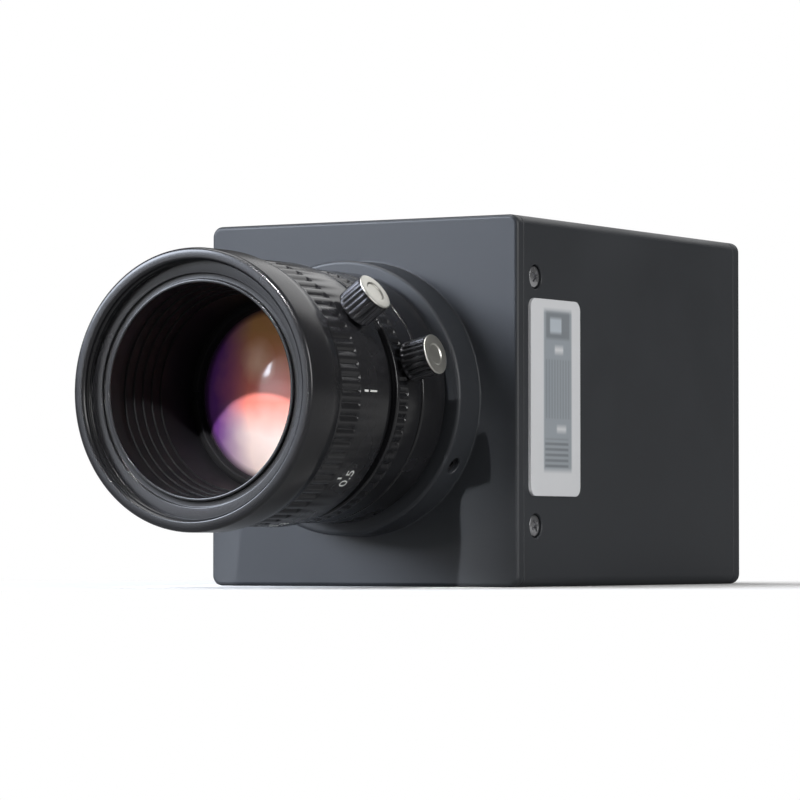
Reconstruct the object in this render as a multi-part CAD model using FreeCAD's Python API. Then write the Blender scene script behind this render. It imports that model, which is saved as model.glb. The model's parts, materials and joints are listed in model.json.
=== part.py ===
import FreeCAD, Part
import os
from math import cos, pi, radians, sin, sqrt

# Machine vision camera: a square-fronted box camera body with a fixed-focal C-mount lens.
#
# Lengths are millimetres, angles degrees. The pieces are drawn in the lens frame: x to the right
# and y up as seen from in front, z forward along the lens axis from the body's front face. A
# place along z is called a station. export() turns them into the camera's own frame, which is
# +Z up and the lens looking along -Y, with its origin in the mouth of the tripod thread.

Vector = FreeCAD.Vector

# ---------------------------------------------------------------------------------------------
# Driving dimensions
# ---------------------------------------------------------------------------------------------

# clearances
fit = 0.03                    # a seated or screwed-in piece, each side
running = 0.05                # a turning or sliding piece, radially
ring_gap = 0.2                # between neighbouring rings, along the axis

# body
body_width = 44.0
body_height = 45.0
body_length = 60.0            # front face to rear face
edge_radius = 1.3             # long edges
face_chamfer = 0.5            # round the front and rear faces
wall = 2.0                    # sides and top of the housing
floor = 4.0                   # base of the housing, thick enough to tap
axis_height = 23.0            # lens axis above the base
front_flange = 1.5            # front block's edge that shows outside the housing
front_spigot = 8.5            # front block's depth inside the housing
rear_flange = 2.0
rear_spigot = 4.0
gasket_width = 1.0            # along the axis
gasket_depth = 0.8            # into the spigot
gasket_setback = 1.0          # flange to gasket

# body fasteners
corner_inset = 4.2            # rear cover screws, from the body's sides, top and base
channel_radius = 2.1          # round screw channel in each corner of the housing
cover_screw_radius = 1.25
cover_screw_length = 12.0
cover_head_radius = 2.2
cover_head_height = 1.4
side_screw_radius = 0.8
side_screw_length = 5.0
side_head_radius = 1.35
side_head_height = 0.9
side_head_recess = 1.0        # counterbore's depth in the housing wall
side_head_room = 0.15         # round the head in its counterbore
side_screw_setback = 4.5      # behind the front face
side_screw_inset = 7.4        # from the body's base and top
recess_span = 0.72            # cross recess, share of the head's width
recess_depth = 0.45

# base mountings
tripod_setback = 23.5         # front face to tripod thread
tripod_minor_radius = 2.55    # 1/4-20 thread, at its crests
tripod_depth = 5.5
tripod_insert_radius = 5.0
tripod_insert_height = 6.3
base_hole_radius = 1.25       # M3, tapping size
base_hole_depth = 3.2
base_hole_pitch_x = 30.0
base_hole_pitch_y = 20.0

# side plate
plate_length = 12.5
plate_height = 24.0
plate_thickness = 0.4
plate_corner = 1.2
plate_setback = 2.6           # behind the front face
plate_base = 11.0             # above the body's base

# lens mount
boss_radius = 16.8
boss_length = 5.0
boss_chamfer = 0.5
mount_ring_radius = 14.6
mount_ring_depth = 7.9
thread_radius = 12.27         # 1-32 UN thread, mean of its fit
thread_length = 4.0
flange_to_sensor = 17.526     # C-mount flange focal distance
grub_radius = 1.0
grub_socket = 0.45
grub_setback = 2.5            # behind the mount face
grub_angles = (90, 210, 330)

# window and sensor
window_radius = 10.5
window_thickness = 1.1
seal_thickness = 0.5
seal_width = 1.0
light_path_radius = 9.0
sensor_width = 15.0
sensor_height = 13.0
sensor_thickness = 2.9
sensor_die_recess = 0.53
sensor_die_width = 8.8
sensor_die_height = 6.6
sensor_glass_thickness = 0.7
sensor_glass_margin = 1.0

# boards
board_thickness = 1.6
board_clearance = 0.8         # to the housing
board_pitch_gap = 13.0        # free space between boards
standoff_radius = 2.2
standoff_place = 13.0         # from the lens axis, both ways
stud_radius = 0.95
stud_length = 4.0
board_screw_head_radius = 1.9
board_screw_head_height = 1.3
board_screw_length = 4.0
stack_plug_width = 20.0
stack_plug_height = 5.0
stack_plug_place = -10.0      # from the lens axis, vertically
processor_size = 17.0
processor_place = 2.0         # above the lens axis
processor_height = 1.4
memory_width = 8.0
memory_length = 12.0
memory_height = 1.0
memory_spacing = 13.0
memory_margin = 3.2           # to the board's top edge

# rear connectors, M12 size
connector_inset = 11.5        # from the body's sides
connector_height = 21.0       # above the base
panel_neck_radius = 5.6
hex_flat = 15.0
hex_thickness = 2.5
plug_thread_radius = 6.0
plug_thread_length = 8.0
plug_cup_radius = 4.6
socket_tube_radius = 7.1
socket_tube_length = 6.0
socket_bore_radius = 5.46
insert_radius = 4.3
insert_setback = 0.6          # socket insert's face inside the tube's mouth
plug_cup_depth = 7.5
nut_thickness = 2.0
pin_radius = 0.38
pin_reach = 5.5
pin_root = 4.0
outer_pin_circle = 3.0
outer_pin_count = 8
inner_pin_circle = 1.25
inner_pin_count = 4
contact_radius = 0.6
contact_bore = 0.35
contact_length = 6.0
contact_circle = 2.6
contact_count = 8
contact_pair_angle = 22.5     # each contact of a pair, from the pair's middle

# status lights
light_count = 3
light_pitch = 6.0
light_inset = 8.5             # from the body's top
light_pipe_radius = 1.0
light_pipe_stand = 0.3
led_size = 2.0
led_height = 1.2
led_gap = 0.3

# lens barrel, fixed part
barrel_flange_length = 6.0
barrel_groove_depth = 0.7
barrel_groove_width = 0.8
tube_wall = 1.2
tube_reach = 6.3              # into the focus ring
nose_bore = 10.5
nose_bore_depth = 5.2         # from the tube's rear end
collar_wall = 1.3             # over the barrel's tube
collar_length = 1.8
guide_pin_radius = 0.7
guide_pin_setback = 4.0       # forward of the mount face
guide_pin_angle = 270

# iris ring
iris_ring_wall = 1.9          # over the barrel's tube
iris_ring_length = 5.8
iris_knurl_length = 2.0
iris_turn = 48.0              # from open to closed
link_pin_radius = 0.6
link_pin_setback = 2.9        # from the ring's rear face
link_pin_depth = 0.6          # into the cam ring
link_pin_angle = 203.0
link_pin_head = 1.0           # into the iris ring

# focus ring
focus_ring_wall = 2.4         # over the barrel's tube
focus_ring_length = 11.6
focus_knurl_length = 4.2
focus_travel = 3.0
helicoid_rise = 0.85          # helicoid thread over the barrel's tube
knurl_count = 64
knurl_depth = 0.28
knurl_margin = 0.6            # plain edge beside a knurled band
ring_chamfer = 0.3

# lock screws
lock_shank_radius = 1.0
lock_head_radius = 2.4
lock_head_height = 3.6
lock_head_gap = 0.5           # ring to head
lock_knurl_count = 20
lock_knurl_depth = 0.2
lock_tip_gap = 0.05
iris_lock_angle = 13.0
iris_lock_setback = 2.9       # from the iris ring's rear face
focus_lock_angle = 35.0
focus_lock_setback = 4.2      # from the focus ring's rear face

# front barrel
rim_wall = 1.5                # round the filter thread
rim_flare = 0.4               # from the rim's back to its full radius
rim_length = 7.0
rim_taper = 2.0
rim_chamfer = 0.4
filter_depth = 1.8
stop_ring_width = 1.4         # flat ring at the bottom of the filter thread
stop_groove_width = 0.7       # groove inside that ring
stop_groove_depth = 0.4
hood_lip_width = 0.4          # inside the groove
hood_lip_length = 2.0
hood_flare = 0.9              # lip, outside the throat
hood_undercut = 0.4           # widest baffle, outside the lip
throat_gap = 0.1              # throat, outside the retainer
baffle_count = 5
baffle_length = 1.48
baffle_lip = 0.22
cell_wall = 1.12              # tube that holds the glass and the iris
cell_rear = 7.0               # station of the tube's rear end
element_seat = 0.25           # lip that the front element rests on

# optics
front_element_radius = 11.0
front_element_edge = 3.0
front_element_bulge = 2.2
front_element_hollow = -1.1
front_element_flat = 0.55
front_element_station = 16.4  # rear edge
retainer_rim = 0.5            # retainer, outside the front element
retainer_height = 0.9
retainer_slot = 1.0
second_edge = 2.6
second_bulge = 1.4
second_hollow = -1.0
second_flat = 0.6
second_cell_wall = 1.3
second_cell_rear = 11.3
second_lip = 1.0
rear_radius = 8.2
rear_flat = 0.5
doublet_front_edge = 1.6
doublet_back_edge = 2.3
doublet_front_bulge = -1.3
doublet_joint_bulge = -1.2
doublet_back_bulge = 1.2
doublet_station = 4.2         # rear edge
rear_element_edge = 1.6
rear_element_bulge = 0.9
rear_nose_radius = 10.3
rear_cell_rear = 1.4
rear_cell_flange = 1.7
rear_cell_lip = 0.6           # between doublet and rear element
rear_retainer_height = 0.55

# iris
blade_count = 6
blade_thickness = 0.09
blade_pitch = 0.13            # blade to blade, along the axis
blade_width = 3.3
blade_shoulder = 0.95         # pivot circle to the blade's outer edge
blade_span = 110.0
blade_swing = 26.0            # from open to closed
pivot_inset = 1.33            # pivots, inside the cell's bore
pivot_radius = 0.4
drive_arm = 1.5               # pivot to drive pin
drive_angle = -110.0          # of that arm, from straight outward, with the iris open
drive_radius = 0.3
tab_margin = 0.3
blade_overlap = 0.05          # open blades, outside the hole
iris_base_thickness = 0.76
blade_gap = 0.04              # base plate to blades
cam_gap = 0.06                # blades to cam ring
cam_disc_thickness = 0.8
cam_skirt_thickness = 1.0

# ---------------------------------------------------------------------------------------------
# Radii that follow from them, from the front element outwards and then inwards
# ---------------------------------------------------------------------------------------------

retainer_radius = front_element_radius + retainer_rim
cell_bore = front_element_radius + fit
cell_radius = cell_bore + cell_wall
tube_bore = cell_radius + running
tube_radius = tube_bore + tube_wall
iris_ring_radius = tube_radius + iris_ring_wall
barrel_flange_radius = iris_ring_radius
barrel_groove_radius = barrel_flange_radius - barrel_groove_depth
collar_radius = tube_radius + collar_wall
helicoid_radius = tube_radius + helicoid_rise
focus_ring_radius = tube_radius + focus_ring_wall

throat_radius = retainer_radius + throat_gap
hood_lip_radius = throat_radius + hood_flare
hood_radius = hood_lip_radius + hood_undercut
stop_groove_inner = hood_lip_radius + hood_lip_width
stop_groove_outer = stop_groove_inner + stop_groove_width
filter_radius = stop_groove_outer + stop_ring_width   # M30.5 x 0.5 thread, at its crests
rim_radius = filter_radius + rim_wall
rim_back_radius = rim_radius - rim_flare

cam_radius = cell_bore - fit - running
cam_skirt_bore = cam_radius - cam_skirt_thickness
second_cell_radius = cam_skirt_bore - running
second_radius = second_cell_radius - second_cell_wall - fit
pivot_circle = cell_bore - pivot_inset
blade_outer_radius = pivot_circle - blade_shoulder
blade_inner_radius = blade_outer_radius - blade_width
iris_hole_radius = blade_inner_radius - blade_overlap

# ---------------------------------------------------------------------------------------------
# Stations and places that follow from them
# ---------------------------------------------------------------------------------------------

mount_face = boss_length
sensor_plane = mount_face - flange_to_sensor
front_block_back = -front_flange - front_spigot
housing_back = -body_length + rear_flange
sensor_board_front = sensor_plane + sensor_die_recess - sensor_thickness
sensor_board_back = sensor_board_front - board_thickness
processor_board_front = sensor_board_back - board_pitch_gap
processor_board_back = processor_board_front - board_thickness
io_board_front = processor_board_back - board_pitch_gap
io_board_back = io_board_front - board_thickness
rear_face = -body_length

mount_ring_back = mount_face - mount_ring_depth
window_front = mount_ring_back - seal_thickness
window_back = window_front - window_thickness

iris_ring_back = mount_face + barrel_flange_length + ring_gap
iris_ring_front = iris_ring_back + iris_ring_length
collar_back = iris_ring_front + ring_gap
collar_front = collar_back + collar_length
focus_ring_back = collar_front + ring_gap
focus_ring_front = focus_ring_back + focus_ring_length
tube_front = focus_ring_back + tube_reach
rim_back = focus_ring_front + ring_gap
rim_front = rim_back + rim_length
barrel_rear = mount_face - thread_length
link_station = iris_ring_back + link_pin_setback
guide_station = mount_face + guide_pin_setback

rear_cell_front = cell_rear + rear_cell_flange
iris_base_front = rear_cell_front + iris_base_thickness
blades_back = iris_base_front + blade_gap
blades_front = blades_back + blade_pitch * (blade_count - 1) + blade_thickness
cam_back = blades_front + cam_gap
cam_front = front_element_station - element_seat - 2 * ring_gap
element_front = front_element_station + front_element_edge

middle_height = body_height / 2 - axis_height
base_level = -axis_height
top_level = body_height - axis_height


# ---------------------------------------------------------------------------------------------
# Drawing helpers
# ---------------------------------------------------------------------------------------------

def polar(radius, angle, station):
    """Point at a radius and angle round the lens axis; angles run from +x towards +y."""
    return Vector(radius * cos(radians(angle)), radius * sin(radians(angle)), station)


def rod(radius, back, front, x=0.0, y=0.0):
    return Part.makeCylinder(radius, front - back, Vector(x, y, back))


def tube(outer, inner, back, front):
    return rod(outer, back, front).cut(rod(inner, back, front))


def block(width, height, back, front, x=0.0, y=0.0):
    """Rectangular block centred on x, y."""
    corner = Vector(x - width / 2, y - height / 2, back)
    return Part.makeBox(width, height, front - back, corner)


def turned(points):
    """Solid turned round the lens axis from a closed outline of (radius, station) points."""
    outline = [Vector(radius, 0, station) for radius, station in points]
    face = Part.Face(Part.makePolygon(outline + outline[:1]))
    return face.revolve(Vector(0, 0, 0), Vector(0, 0, 1), 360)


def radial_rod(radius, inner, outer, angle, station):
    """Round rod along a radius, between two distances from the lens axis."""
    return Part.makeCylinder(radius, outer - inner, polar(inner, angle, station), polar(1, angle, 0))


def side_rod(radius, x_start, x_end, y, station):
    """Round rod across the body."""
    direction = Vector(1 if x_end > x_start else -1, 0, 0)
    return Part.makeCylinder(radius, abs(x_end - x_start), Vector(x_start, y, station), direction)


def hexagon(flat, back, front, x, y):
    """Hexagon with flats at its left and right."""
    radius = flat / sqrt(3)
    corners = [Vector(x + radius * sin(pi * k / 3), y + radius * cos(pi * k / 3), back)
               for k in range(7)]
    return Part.Face(Part.makePolygon(corners)).extrude(Vector(0, 0, front - back))


def rounded_block(width, height, corner, back, front, y=0.0):
    """Block with its four long edges rounded."""
    solid = block(width, height, back, front, 0.0, y)
    long_edges = [edge for edge in solid.Edges
                  if abs(edge.Vertexes[0].Z - edge.Vertexes[1].Z) > (front - back) / 2]
    return solid.makeFillet(corner, long_edges)


def flutes(radius, depth, back, front, count):
    """V-shaped grooves along a turned surface, as tools to cut it with."""
    half_angle = 0.3 * 360 / count
    tools = []
    for index in range(count):
        middle = 360 * index / count
        corners = [polar(radius - depth, middle, back),
                   polar(radius + depth, middle + half_angle * 2, back),
                   polar(radius + depth, middle - half_angle * 2, back)]
        face = Part.Face(Part.makePolygon(corners + corners[:1]))
        tools.append(face.extrude(Vector(0, 0, front - back)))
    return tools


def cross_recess(head_radius, depth):
    """Cross-shaped driver recess at the origin, sunk along -z."""
    length = 2 * head_radius * recess_span
    width = length / 4
    return block(length, width, -depth, 0).fuse(block(width, length, -depth, 0))


def screw(shank_radius, shank_length, head_radius, head_height):
    """Cheese-head screw standing on the origin, its shank along -z and its head along +z."""
    shape = rod(shank_radius, -shank_length, 0).fuse(rod(head_radius, 0, head_height))
    recess = cross_recess(head_radius, recess_depth)
    recess.translate(Vector(0, 0, head_height))
    return shape.cut(recess)


def aimed(shape, place, direction):
    """Copy of a shape drawn along +z, turned to a direction and moved to a place."""
    copy = shape.copy()
    copy.Placement = FreeCAD.Placement(place, FreeCAD.Rotation(Vector(0, 0, 1), direction))
    return copy


def group(shapes):
    return Part.makeCompound(shapes)


def circle_places(count, radius, start=0.0):
    """Evenly spaced x, y places on a circle."""
    return [(radius * cos(radians(start + 360 * k / count)),
             radius * sin(radians(start + 360 * k / count))) for k in range(count)]


def corner_places():
    """The four screw channels at the corners of the body."""
    x = body_width / 2 - corner_inset
    return [(side * x, y) for side in (-1, 1)
            for y in (base_level + corner_inset, top_level - corner_inset)]


def standoff_places():
    return [(sx * standoff_place, sy * standoff_place) for sx in (-1, 1) for sy in (-1, 1)]


def side_screw_places():
    """Side screws: which side, and how far above the lens axis."""
    return [(side, y) for side in (-1, 1)
            for y in (base_level + side_screw_inset, top_level - side_screw_inset)]


def cavity(clearance, back, front):
    """Space inside the housing between its corner channels, smaller all round by a clearance."""
    half = body_width / 2 - wall - clearance
    low = base_level + floor + clearance
    high = top_level - wall - clearance
    space = Part.makeBox(2 * half, high - low, front - back, Vector(-half, low, back))
    reach = channel_radius + clearance
    for x, y in corner_places():
        out_x = 1 if x > 0 else -1
        out_y = 1 if y > middle_height else -1
        span = corner_inset + reach
        post = block(span, span, back, front, x + out_x * (span / 2 - reach),
                     y + out_y * (span / 2 - reach))
        inner = Vector(x - out_x * reach, y - out_y * reach, back)
        edge = [e for e in post.Edges if abs(e.Vertexes[0].Z - e.Vertexes[1].Z) > 1e-6
                and (Vector(e.Vertexes[0].X, e.Vertexes[0].Y, back) - inner).Length < 1e-6]
        space = space.cut(post.makeFillet(reach, edge))
    return space


def lens_element(radius, back, front, back_bulge, front_bulge, flat):
    """Glass element with spherical faces. A bulge is positive outwards and negative hollow."""
    chord = radius - flat

    def dome(edge, bulge, outward):
        # sphere through the rim of the polished face and its vertex
        sphere = (bulge ** 2 + chord ** 2) / (2 * abs(bulge))
        half_way = abs(bulge) - (sphere - sqrt(sphere ** 2 - (chord / 2) ** 2))
        sign = outward if bulge > 0 else -outward
        return Part.Arc(Vector(0, 0, edge + sign * abs(bulge)),
                        Vector(chord / 2, 0, edge + sign * half_way),
                        Vector(chord, 0, edge)).toShape()

    back_face = dome(back, back_bulge, -1)
    front_face = dome(front, front_bulge, 1)
    corners = [Vector(chord, 0, back), Vector(radius, 0, back),
               Vector(radius, 0, front), Vector(chord, 0, front)]
    sides = [Part.makeLine(a, b) for a, b in zip(corners, corners[1:])]
    axis = Part.makeLine(back_face.Vertexes[0].Point, front_face.Vertexes[0].Point)
    wire = Part.Wire(Part.sortEdges([back_face, front_face, axis] + sides)[0])
    return Part.Face(wire).revolve(Vector(0, 0, 0), Vector(0, 0, 1), 360)


# ---------------------------------------------------------------------------------------------
# Body
# ---------------------------------------------------------------------------------------------

def body_slab(back, front):
    return rounded_block(body_width, body_height, edge_radius, back, front, middle_height)


def end_edges(solid, station):
    """Edges of the outline at one end of a slab."""
    return [edge for edge in solid.Edges
            if all(abs(vertex.Z - station) < 1e-6 for vertex in edge.Vertexes)]


def gasket(flange_back, direction):
    """Rubber frame in a groove round a spigot; direction is -1 into the housing from the front."""
    near = flange_back + direction * gasket_setback
    far = near + direction * gasket_width
    back, front = min(near, far), max(near, far)
    return cavity(fit, back, front).cut(cavity(fit + gasket_depth, back, front))


def front_gasket():
    return gasket(-front_flange, -1)


def rear_gasket():
    return gasket(housing_back, 1)


def front_block():
    """Front plate, round lens boss and the spigot that fills the housing's mouth."""
    plate = body_slab(-front_flange, 0)
    plate = plate.makeChamfer(face_chamfer, end_edges(plate, 0))
    boss = rod(boss_radius, 0, boss_length)
    boss = boss.makeChamfer(boss_chamfer, end_edges(boss, boss_length))
    solid = plate.fuse([boss, cavity(fit, front_block_back, -front_flange)]).removeSplitter()
    bores = [rod(mount_ring_radius + fit, mount_ring_back, mount_face),
             rod(window_radius + fit, window_back, mount_ring_back),
             rod(light_path_radius, front_block_back, window_back)]
    solid = solid.cut(bores)
    solid = solid.cut(front_gasket())
    for angle in grub_angles:
        hole = radial_rod(grub_radius + fit, mount_ring_radius, boss_radius + 1, angle,
                          mount_face - grub_setback)
        solid = solid.cut(hole)
    for side, y in side_screw_places():
        inner = body_width / 2 - side_head_recess - side_screw_length - fit
        solid = solid.cut(side_rod(side_screw_radius + fit, side * inner, side * body_width / 2,
                                   y, -side_screw_setback))
    for x, y in standoff_places():
        solid = solid.cut(rod(stud_radius + fit, front_block_back,
                              front_block_back + stud_length + fit, x, y))
    return solid


def housing():
    """Extruded shell with a screw channel in each corner and a thick tapped base."""
    solid = body_slab(housing_back, -front_flange).cut(cavity(0, housing_back, -front_flange))
    for x, y in corner_places():
        solid = solid.cut(rod(cover_screw_radius + fit, housing_back,
                              housing_back + cover_screw_length, x, y))
    for side, y in side_screw_places():
        outside = body_width / 2
        solid = solid.cut(side_rod(side_head_radius + side_head_room, side * (outside - side_head_recess),
                                   side * (outside + 1), y, -side_screw_setback))
        solid = solid.cut(side_rod(side_screw_radius + fit, side * (outside - wall - 1),
                                   side * outside, y, -side_screw_setback))
    insert_hole = base_rod(tripod_insert_radius + fit, 0, floor, 0, 0)
    holes = [base_rod(base_hole_radius, 0, base_hole_depth, sx * base_hole_pitch_x / 2,
                      sy * base_hole_pitch_y / 2) for sx in (-1, 1) for sy in (-1, 1)]
    return solid.cut([insert_hole] + holes)


def base_rod(radius, low, high, x, behind):
    """Upright rod in the base; x and behind are measured from the tripod thread."""
    place = Vector(x, base_level + low, -tripod_setback - behind)
    return Part.makeCylinder(radius, high - low, place, Vector(0, 1, 0))


def tripod_insert():
    """Threaded bush pressed into the base, closed at its top."""
    bush = base_rod(tripod_insert_radius, 0, tripod_insert_height, 0, 0)
    return bush.cut(base_rod(tripod_minor_radius, 0, tripod_depth, 0, 0))


def rear_cover():
    """Rear plate with its spigot, and holes for screws, connectors and status lights."""
    plate = body_slab(rear_face, housing_back)
    plate = plate.makeChamfer(face_chamfer, end_edges(plate, rear_face))
    spigot_front = housing_back + rear_spigot
    solid = plate.fuse(cavity(fit, housing_back, spigot_front)).removeSplitter()
    solid = solid.cut(rear_gasket())
    for x in connector_columns():
        solid = solid.cut(rod(panel_neck_radius + fit, rear_face, spigot_front, x,
                              connector_level))
    for x in light_columns():
        solid = solid.cut(rod(light_pipe_radius + fit, rear_face, spigot_front, x, light_level))
    for x, y in corner_places():
        solid = solid.cut(rod(cover_screw_radius + fit, rear_face, housing_back, x, y))
        solid = solid.cut(rod(cover_head_radius + fit, rear_face, rear_face + cover_head_height,
                              x, y))
    return solid


def rear_cover_screws():
    shape = screw(cover_screw_radius, cover_screw_length, cover_head_radius, cover_head_height)
    seat = rear_face + cover_head_height
    return group([aimed(shape, Vector(x, y, seat), Vector(0, 0, -1)) for x, y in corner_places()])


def side_screws():
    shape = screw(side_screw_radius, side_screw_length, side_head_radius, side_head_height)
    seat = body_width / 2 - side_head_recess
    return group([aimed(shape, Vector(side * seat, y, -side_screw_setback), Vector(side, 0, 0))
                  for side, y in side_screw_places()])


def side_plate():
    """Thin plate stuck on the side wall."""
    plate = rounded_block(plate_length, plate_height, plate_corner, 0, plate_thickness)
    place = Vector(body_width / 2, base_level + plate_base + plate_height / 2,
                   -plate_setback - plate_length / 2)
    return aimed(plate, place, Vector(1, 0, 0))


def mount_ring():
    """Threaded ring that the lens screws into, set in the boss."""
    return tube(mount_ring_radius, thread_radius + fit, mount_ring_back, mount_face)


def mount_ring_screws():
    """Grub screws that hold the mount ring."""
    screws = []
    for angle in grub_angles:
        body = radial_rod(grub_radius, mount_ring_radius + fit, boss_radius - boss_chamfer, angle,
                          mount_face - grub_setback)
        socket = radial_rod(grub_socket, boss_radius - 2 * boss_chamfer - grub_socket, boss_radius,
                            angle, mount_face - grub_setback)
        screws.append(body.cut(socket))
    return group(screws)


# ---------------------------------------------------------------------------------------------
# Sensor and boards
# ---------------------------------------------------------------------------------------------

def sensor_window():
    return rod(window_radius, window_back, window_front)


def window_seal():
    return tube(window_radius, window_radius - seal_width, window_front, mount_ring_back)


def image_sensor():
    """Ceramic package with the sensitive face at the bottom of its well."""
    top = sensor_plane + sensor_die_recess
    package = block(sensor_width, sensor_height, sensor_board_front, top)
    return package.cut(block(sensor_die_width, sensor_die_height, sensor_plane, top))


def sensor_glass():
    top = sensor_plane + sensor_die_recess
    return block(sensor_width - sensor_glass_margin, sensor_height - sensor_glass_margin, top,
                 top + sensor_glass_thickness)


def circuit_board(back):
    """Board cut to the housing's inside, with clearance holes for the standoff studs."""
    board = cavity(board_clearance, back, back + board_thickness)
    holes = [rod(stud_radius + 2 * fit, back, back + board_thickness, x, y)
             for x, y in standoff_places()]
    return board.cut(holes)


def sensor_board():
    return circuit_board(sensor_board_back)


def processor_board():
    return circuit_board(processor_board_back)


def io_board():
    return circuit_board(io_board_back)


def standoff(length, grip):
    """Spacer from the origin along +z, its stud beyond the far end and its tapped hole near."""
    body = rod(standoff_radius, 0, length).fuse(rod(stud_radius, length, length + grip))
    return body.cut(rod(stud_radius + fit, 0, min(length, stud_length + fit)))


def sensor_standoffs():
    shape = standoff(front_block_back - sensor_board_front, stud_length)
    return group([aimed(shape, Vector(x, y, sensor_board_front), Vector(0, 0, 1))
                  for x, y in standoff_places()])


def board_standoffs():
    """Two rows of spacers, each screwed through a board into the spacer before it."""
    shape = standoff(board_pitch_gap, board_thickness + stud_length - 2 * fit)
    return group([aimed(shape, Vector(x, y, back), Vector(0, 0, 1))
                  for back in (processor_board_front, io_board_front)
                  for x, y in standoff_places()])


def board_screws():
    shape = screw(stud_radius, board_screw_length, board_screw_head_radius,
                  board_screw_head_height)
    return group([aimed(shape, Vector(x, y, io_board_back), Vector(0, 0, -1))
                  for x, y in standoff_places()])


def stack_plugs():
    """Mated board-to-board plugs, one pair in each space between boards."""
    return group([block(stack_plug_width, stack_plug_height, back, back + board_pitch_gap,
                        0.0, stack_plug_place)
                  for back in (processor_board_front, io_board_front)])


def processor_chip():
    return block(processor_size, processor_size, processor_board_back - processor_height,
                 processor_board_back, 0.0, processor_place)


def memory_chips():
    board_top = top_level - wall - board_clearance
    place = board_top - memory_margin - memory_length / 2
    return group([block(memory_width, memory_length, processor_board_front,
                        processor_board_front + memory_height, side * memory_spacing / 2, place)
                  for side in (-1, 1)])


# ---------------------------------------------------------------------------------------------
# Rear connectors and status lights
# ---------------------------------------------------------------------------------------------

connector_level = connector_height - axis_height
light_level = top_level - light_inset
panel_inside = housing_back + rear_spigot
neck_front = panel_inside + nut_thickness
hex_back = rear_face - hex_thickness


def connector_columns():
    x = body_width / 2 - connector_inset
    return (-x, x)


def light_columns():
    return [light_pitch * (k - (light_count - 1) / 2) for k in range(light_count)]


def at_connector(shape, column):
    shape.translate(Vector(connector_columns()[column], connector_level, 0))
    return shape


def connector_shell(tube_outer, tube_length):
    """Hexagon on the panel, a neck through it and a round tube behind."""
    body = hexagon(hex_flat, hex_back, rear_face, 0, 0)
    neck = rod(panel_neck_radius, rear_face, neck_front)
    return body.fuse([neck, rod(tube_outer, hex_back - tube_length, hex_back)]).removeSplitter()


def power_connector_shell():
    shell = connector_shell(plug_thread_radius, plug_thread_length)
    mouth = hex_back - plug_thread_length
    cup = rod(plug_cup_radius, mouth, mouth + plug_cup_depth)
    bore = rod(insert_radius + fit, mouth, neck_front)
    return at_connector(shell.cut([cup, bore]), 0)


def power_connector_insert():
    face = hex_back - plug_thread_length + plug_cup_depth
    body = rod(insert_radius, face, io_board_back)
    holes = [rod(pin_radius + fit, face, face + pin_root, x, y) for x, y in pin_places()]
    return at_connector(body.cut(holes), 0)


def pin_places():
    return (circle_places(outer_pin_count, outer_pin_circle, 180 / outer_pin_count)
            + circle_places(inner_pin_count, inner_pin_circle, 180 / inner_pin_count))


def power_connector_pins():
    face = hex_back - plug_thread_length + plug_cup_depth
    return at_connector(group([rod(pin_radius, face - pin_reach, face + pin_root, x, y)
                               for x, y in pin_places()]), 0)


def network_connector_shell():
    shell = connector_shell(socket_tube_radius, socket_tube_length)
    mouth = hex_back - socket_tube_length
    cup = rod(socket_bore_radius, mouth, rear_face)
    bore = rod(insert_radius + fit, mouth, neck_front)
    return at_connector(shell.cut([cup, bore]), 1)


def contact_places():
    """Contacts in four pairs."""
    pairs = contact_count // 2
    return [(contact_circle * cos(radians(360 / pairs * k + side * contact_pair_angle)),
             contact_circle * sin(radians(360 / pairs * k + side * contact_pair_angle)))
            for k in range(pairs) for side in (-1, 1)]


def network_connector_insert():
    face = hex_back - socket_tube_length + insert_setback
    body = rod(insert_radius, face, io_board_back)
    holes = [rod(contact_radius + fit, face, face + contact_length, x, y)
             for x, y in contact_places()]
    return at_connector(body.cut(holes), 1)


def network_connector_contacts():
    face = hex_back - socket_tube_length + insert_setback
    sleeve = tube(contact_radius, contact_bore, face, face + contact_length)
    return at_connector(group([sleeve.translated(Vector(x, y, 0))
                               for x, y in contact_places()]), 1)


def connector_nuts():
    """Nuts that clamp the connectors to the rear cover from inside."""
    nut = hexagon(hex_flat, panel_inside, neck_front, 0, 0)
    nut = nut.cut(rod(panel_neck_radius + fit, panel_inside, neck_front))
    return group([at_connector(nut.copy(), column) for column in (0, 1)])


def status_light_pipes():
    """Clear rods that carry the status lights through the rear cover."""
    front = io_board_back - led_height - led_gap
    return group([rod(light_pipe_radius, rear_face - light_pipe_stand, front, x, light_level)
                  for x in light_columns()])


def status_leds():
    return group([block(led_size, led_size, io_board_back - led_height, io_board_back, x,
                        light_level) for x in light_columns()])


# ---------------------------------------------------------------------------------------------
# Lens barrel
# ---------------------------------------------------------------------------------------------

def barrel_sector(inner, outer, back, front, start, end):
    """Part of a tube between two angles, as a tool for slots round the barrel."""
    outline = [Vector(inner, 0, back), Vector(outer, 0, back),
               Vector(outer, 0, front), Vector(inner, 0, front)]
    face = Part.Face(Part.makePolygon(outline + outline[:1]))
    face.rotate(Vector(0, 0, 0), Vector(0, 0, 1), start)
    return face.revolve(Vector(0, 0, 0), Vector(0, 0, 1), end - start)


def link_slot(inner, outer, back_room, front_room):
    """Opening round the arc that the iris link pin sweeps."""
    width = link_pin_radius + running
    margin = width / tube_bore * 180 / pi * 1.3
    return barrel_sector(inner, outer, link_station - width - back_room,
                         link_station + width + front_room,
                         link_pin_angle - margin, link_pin_angle + iris_turn + margin)


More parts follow.
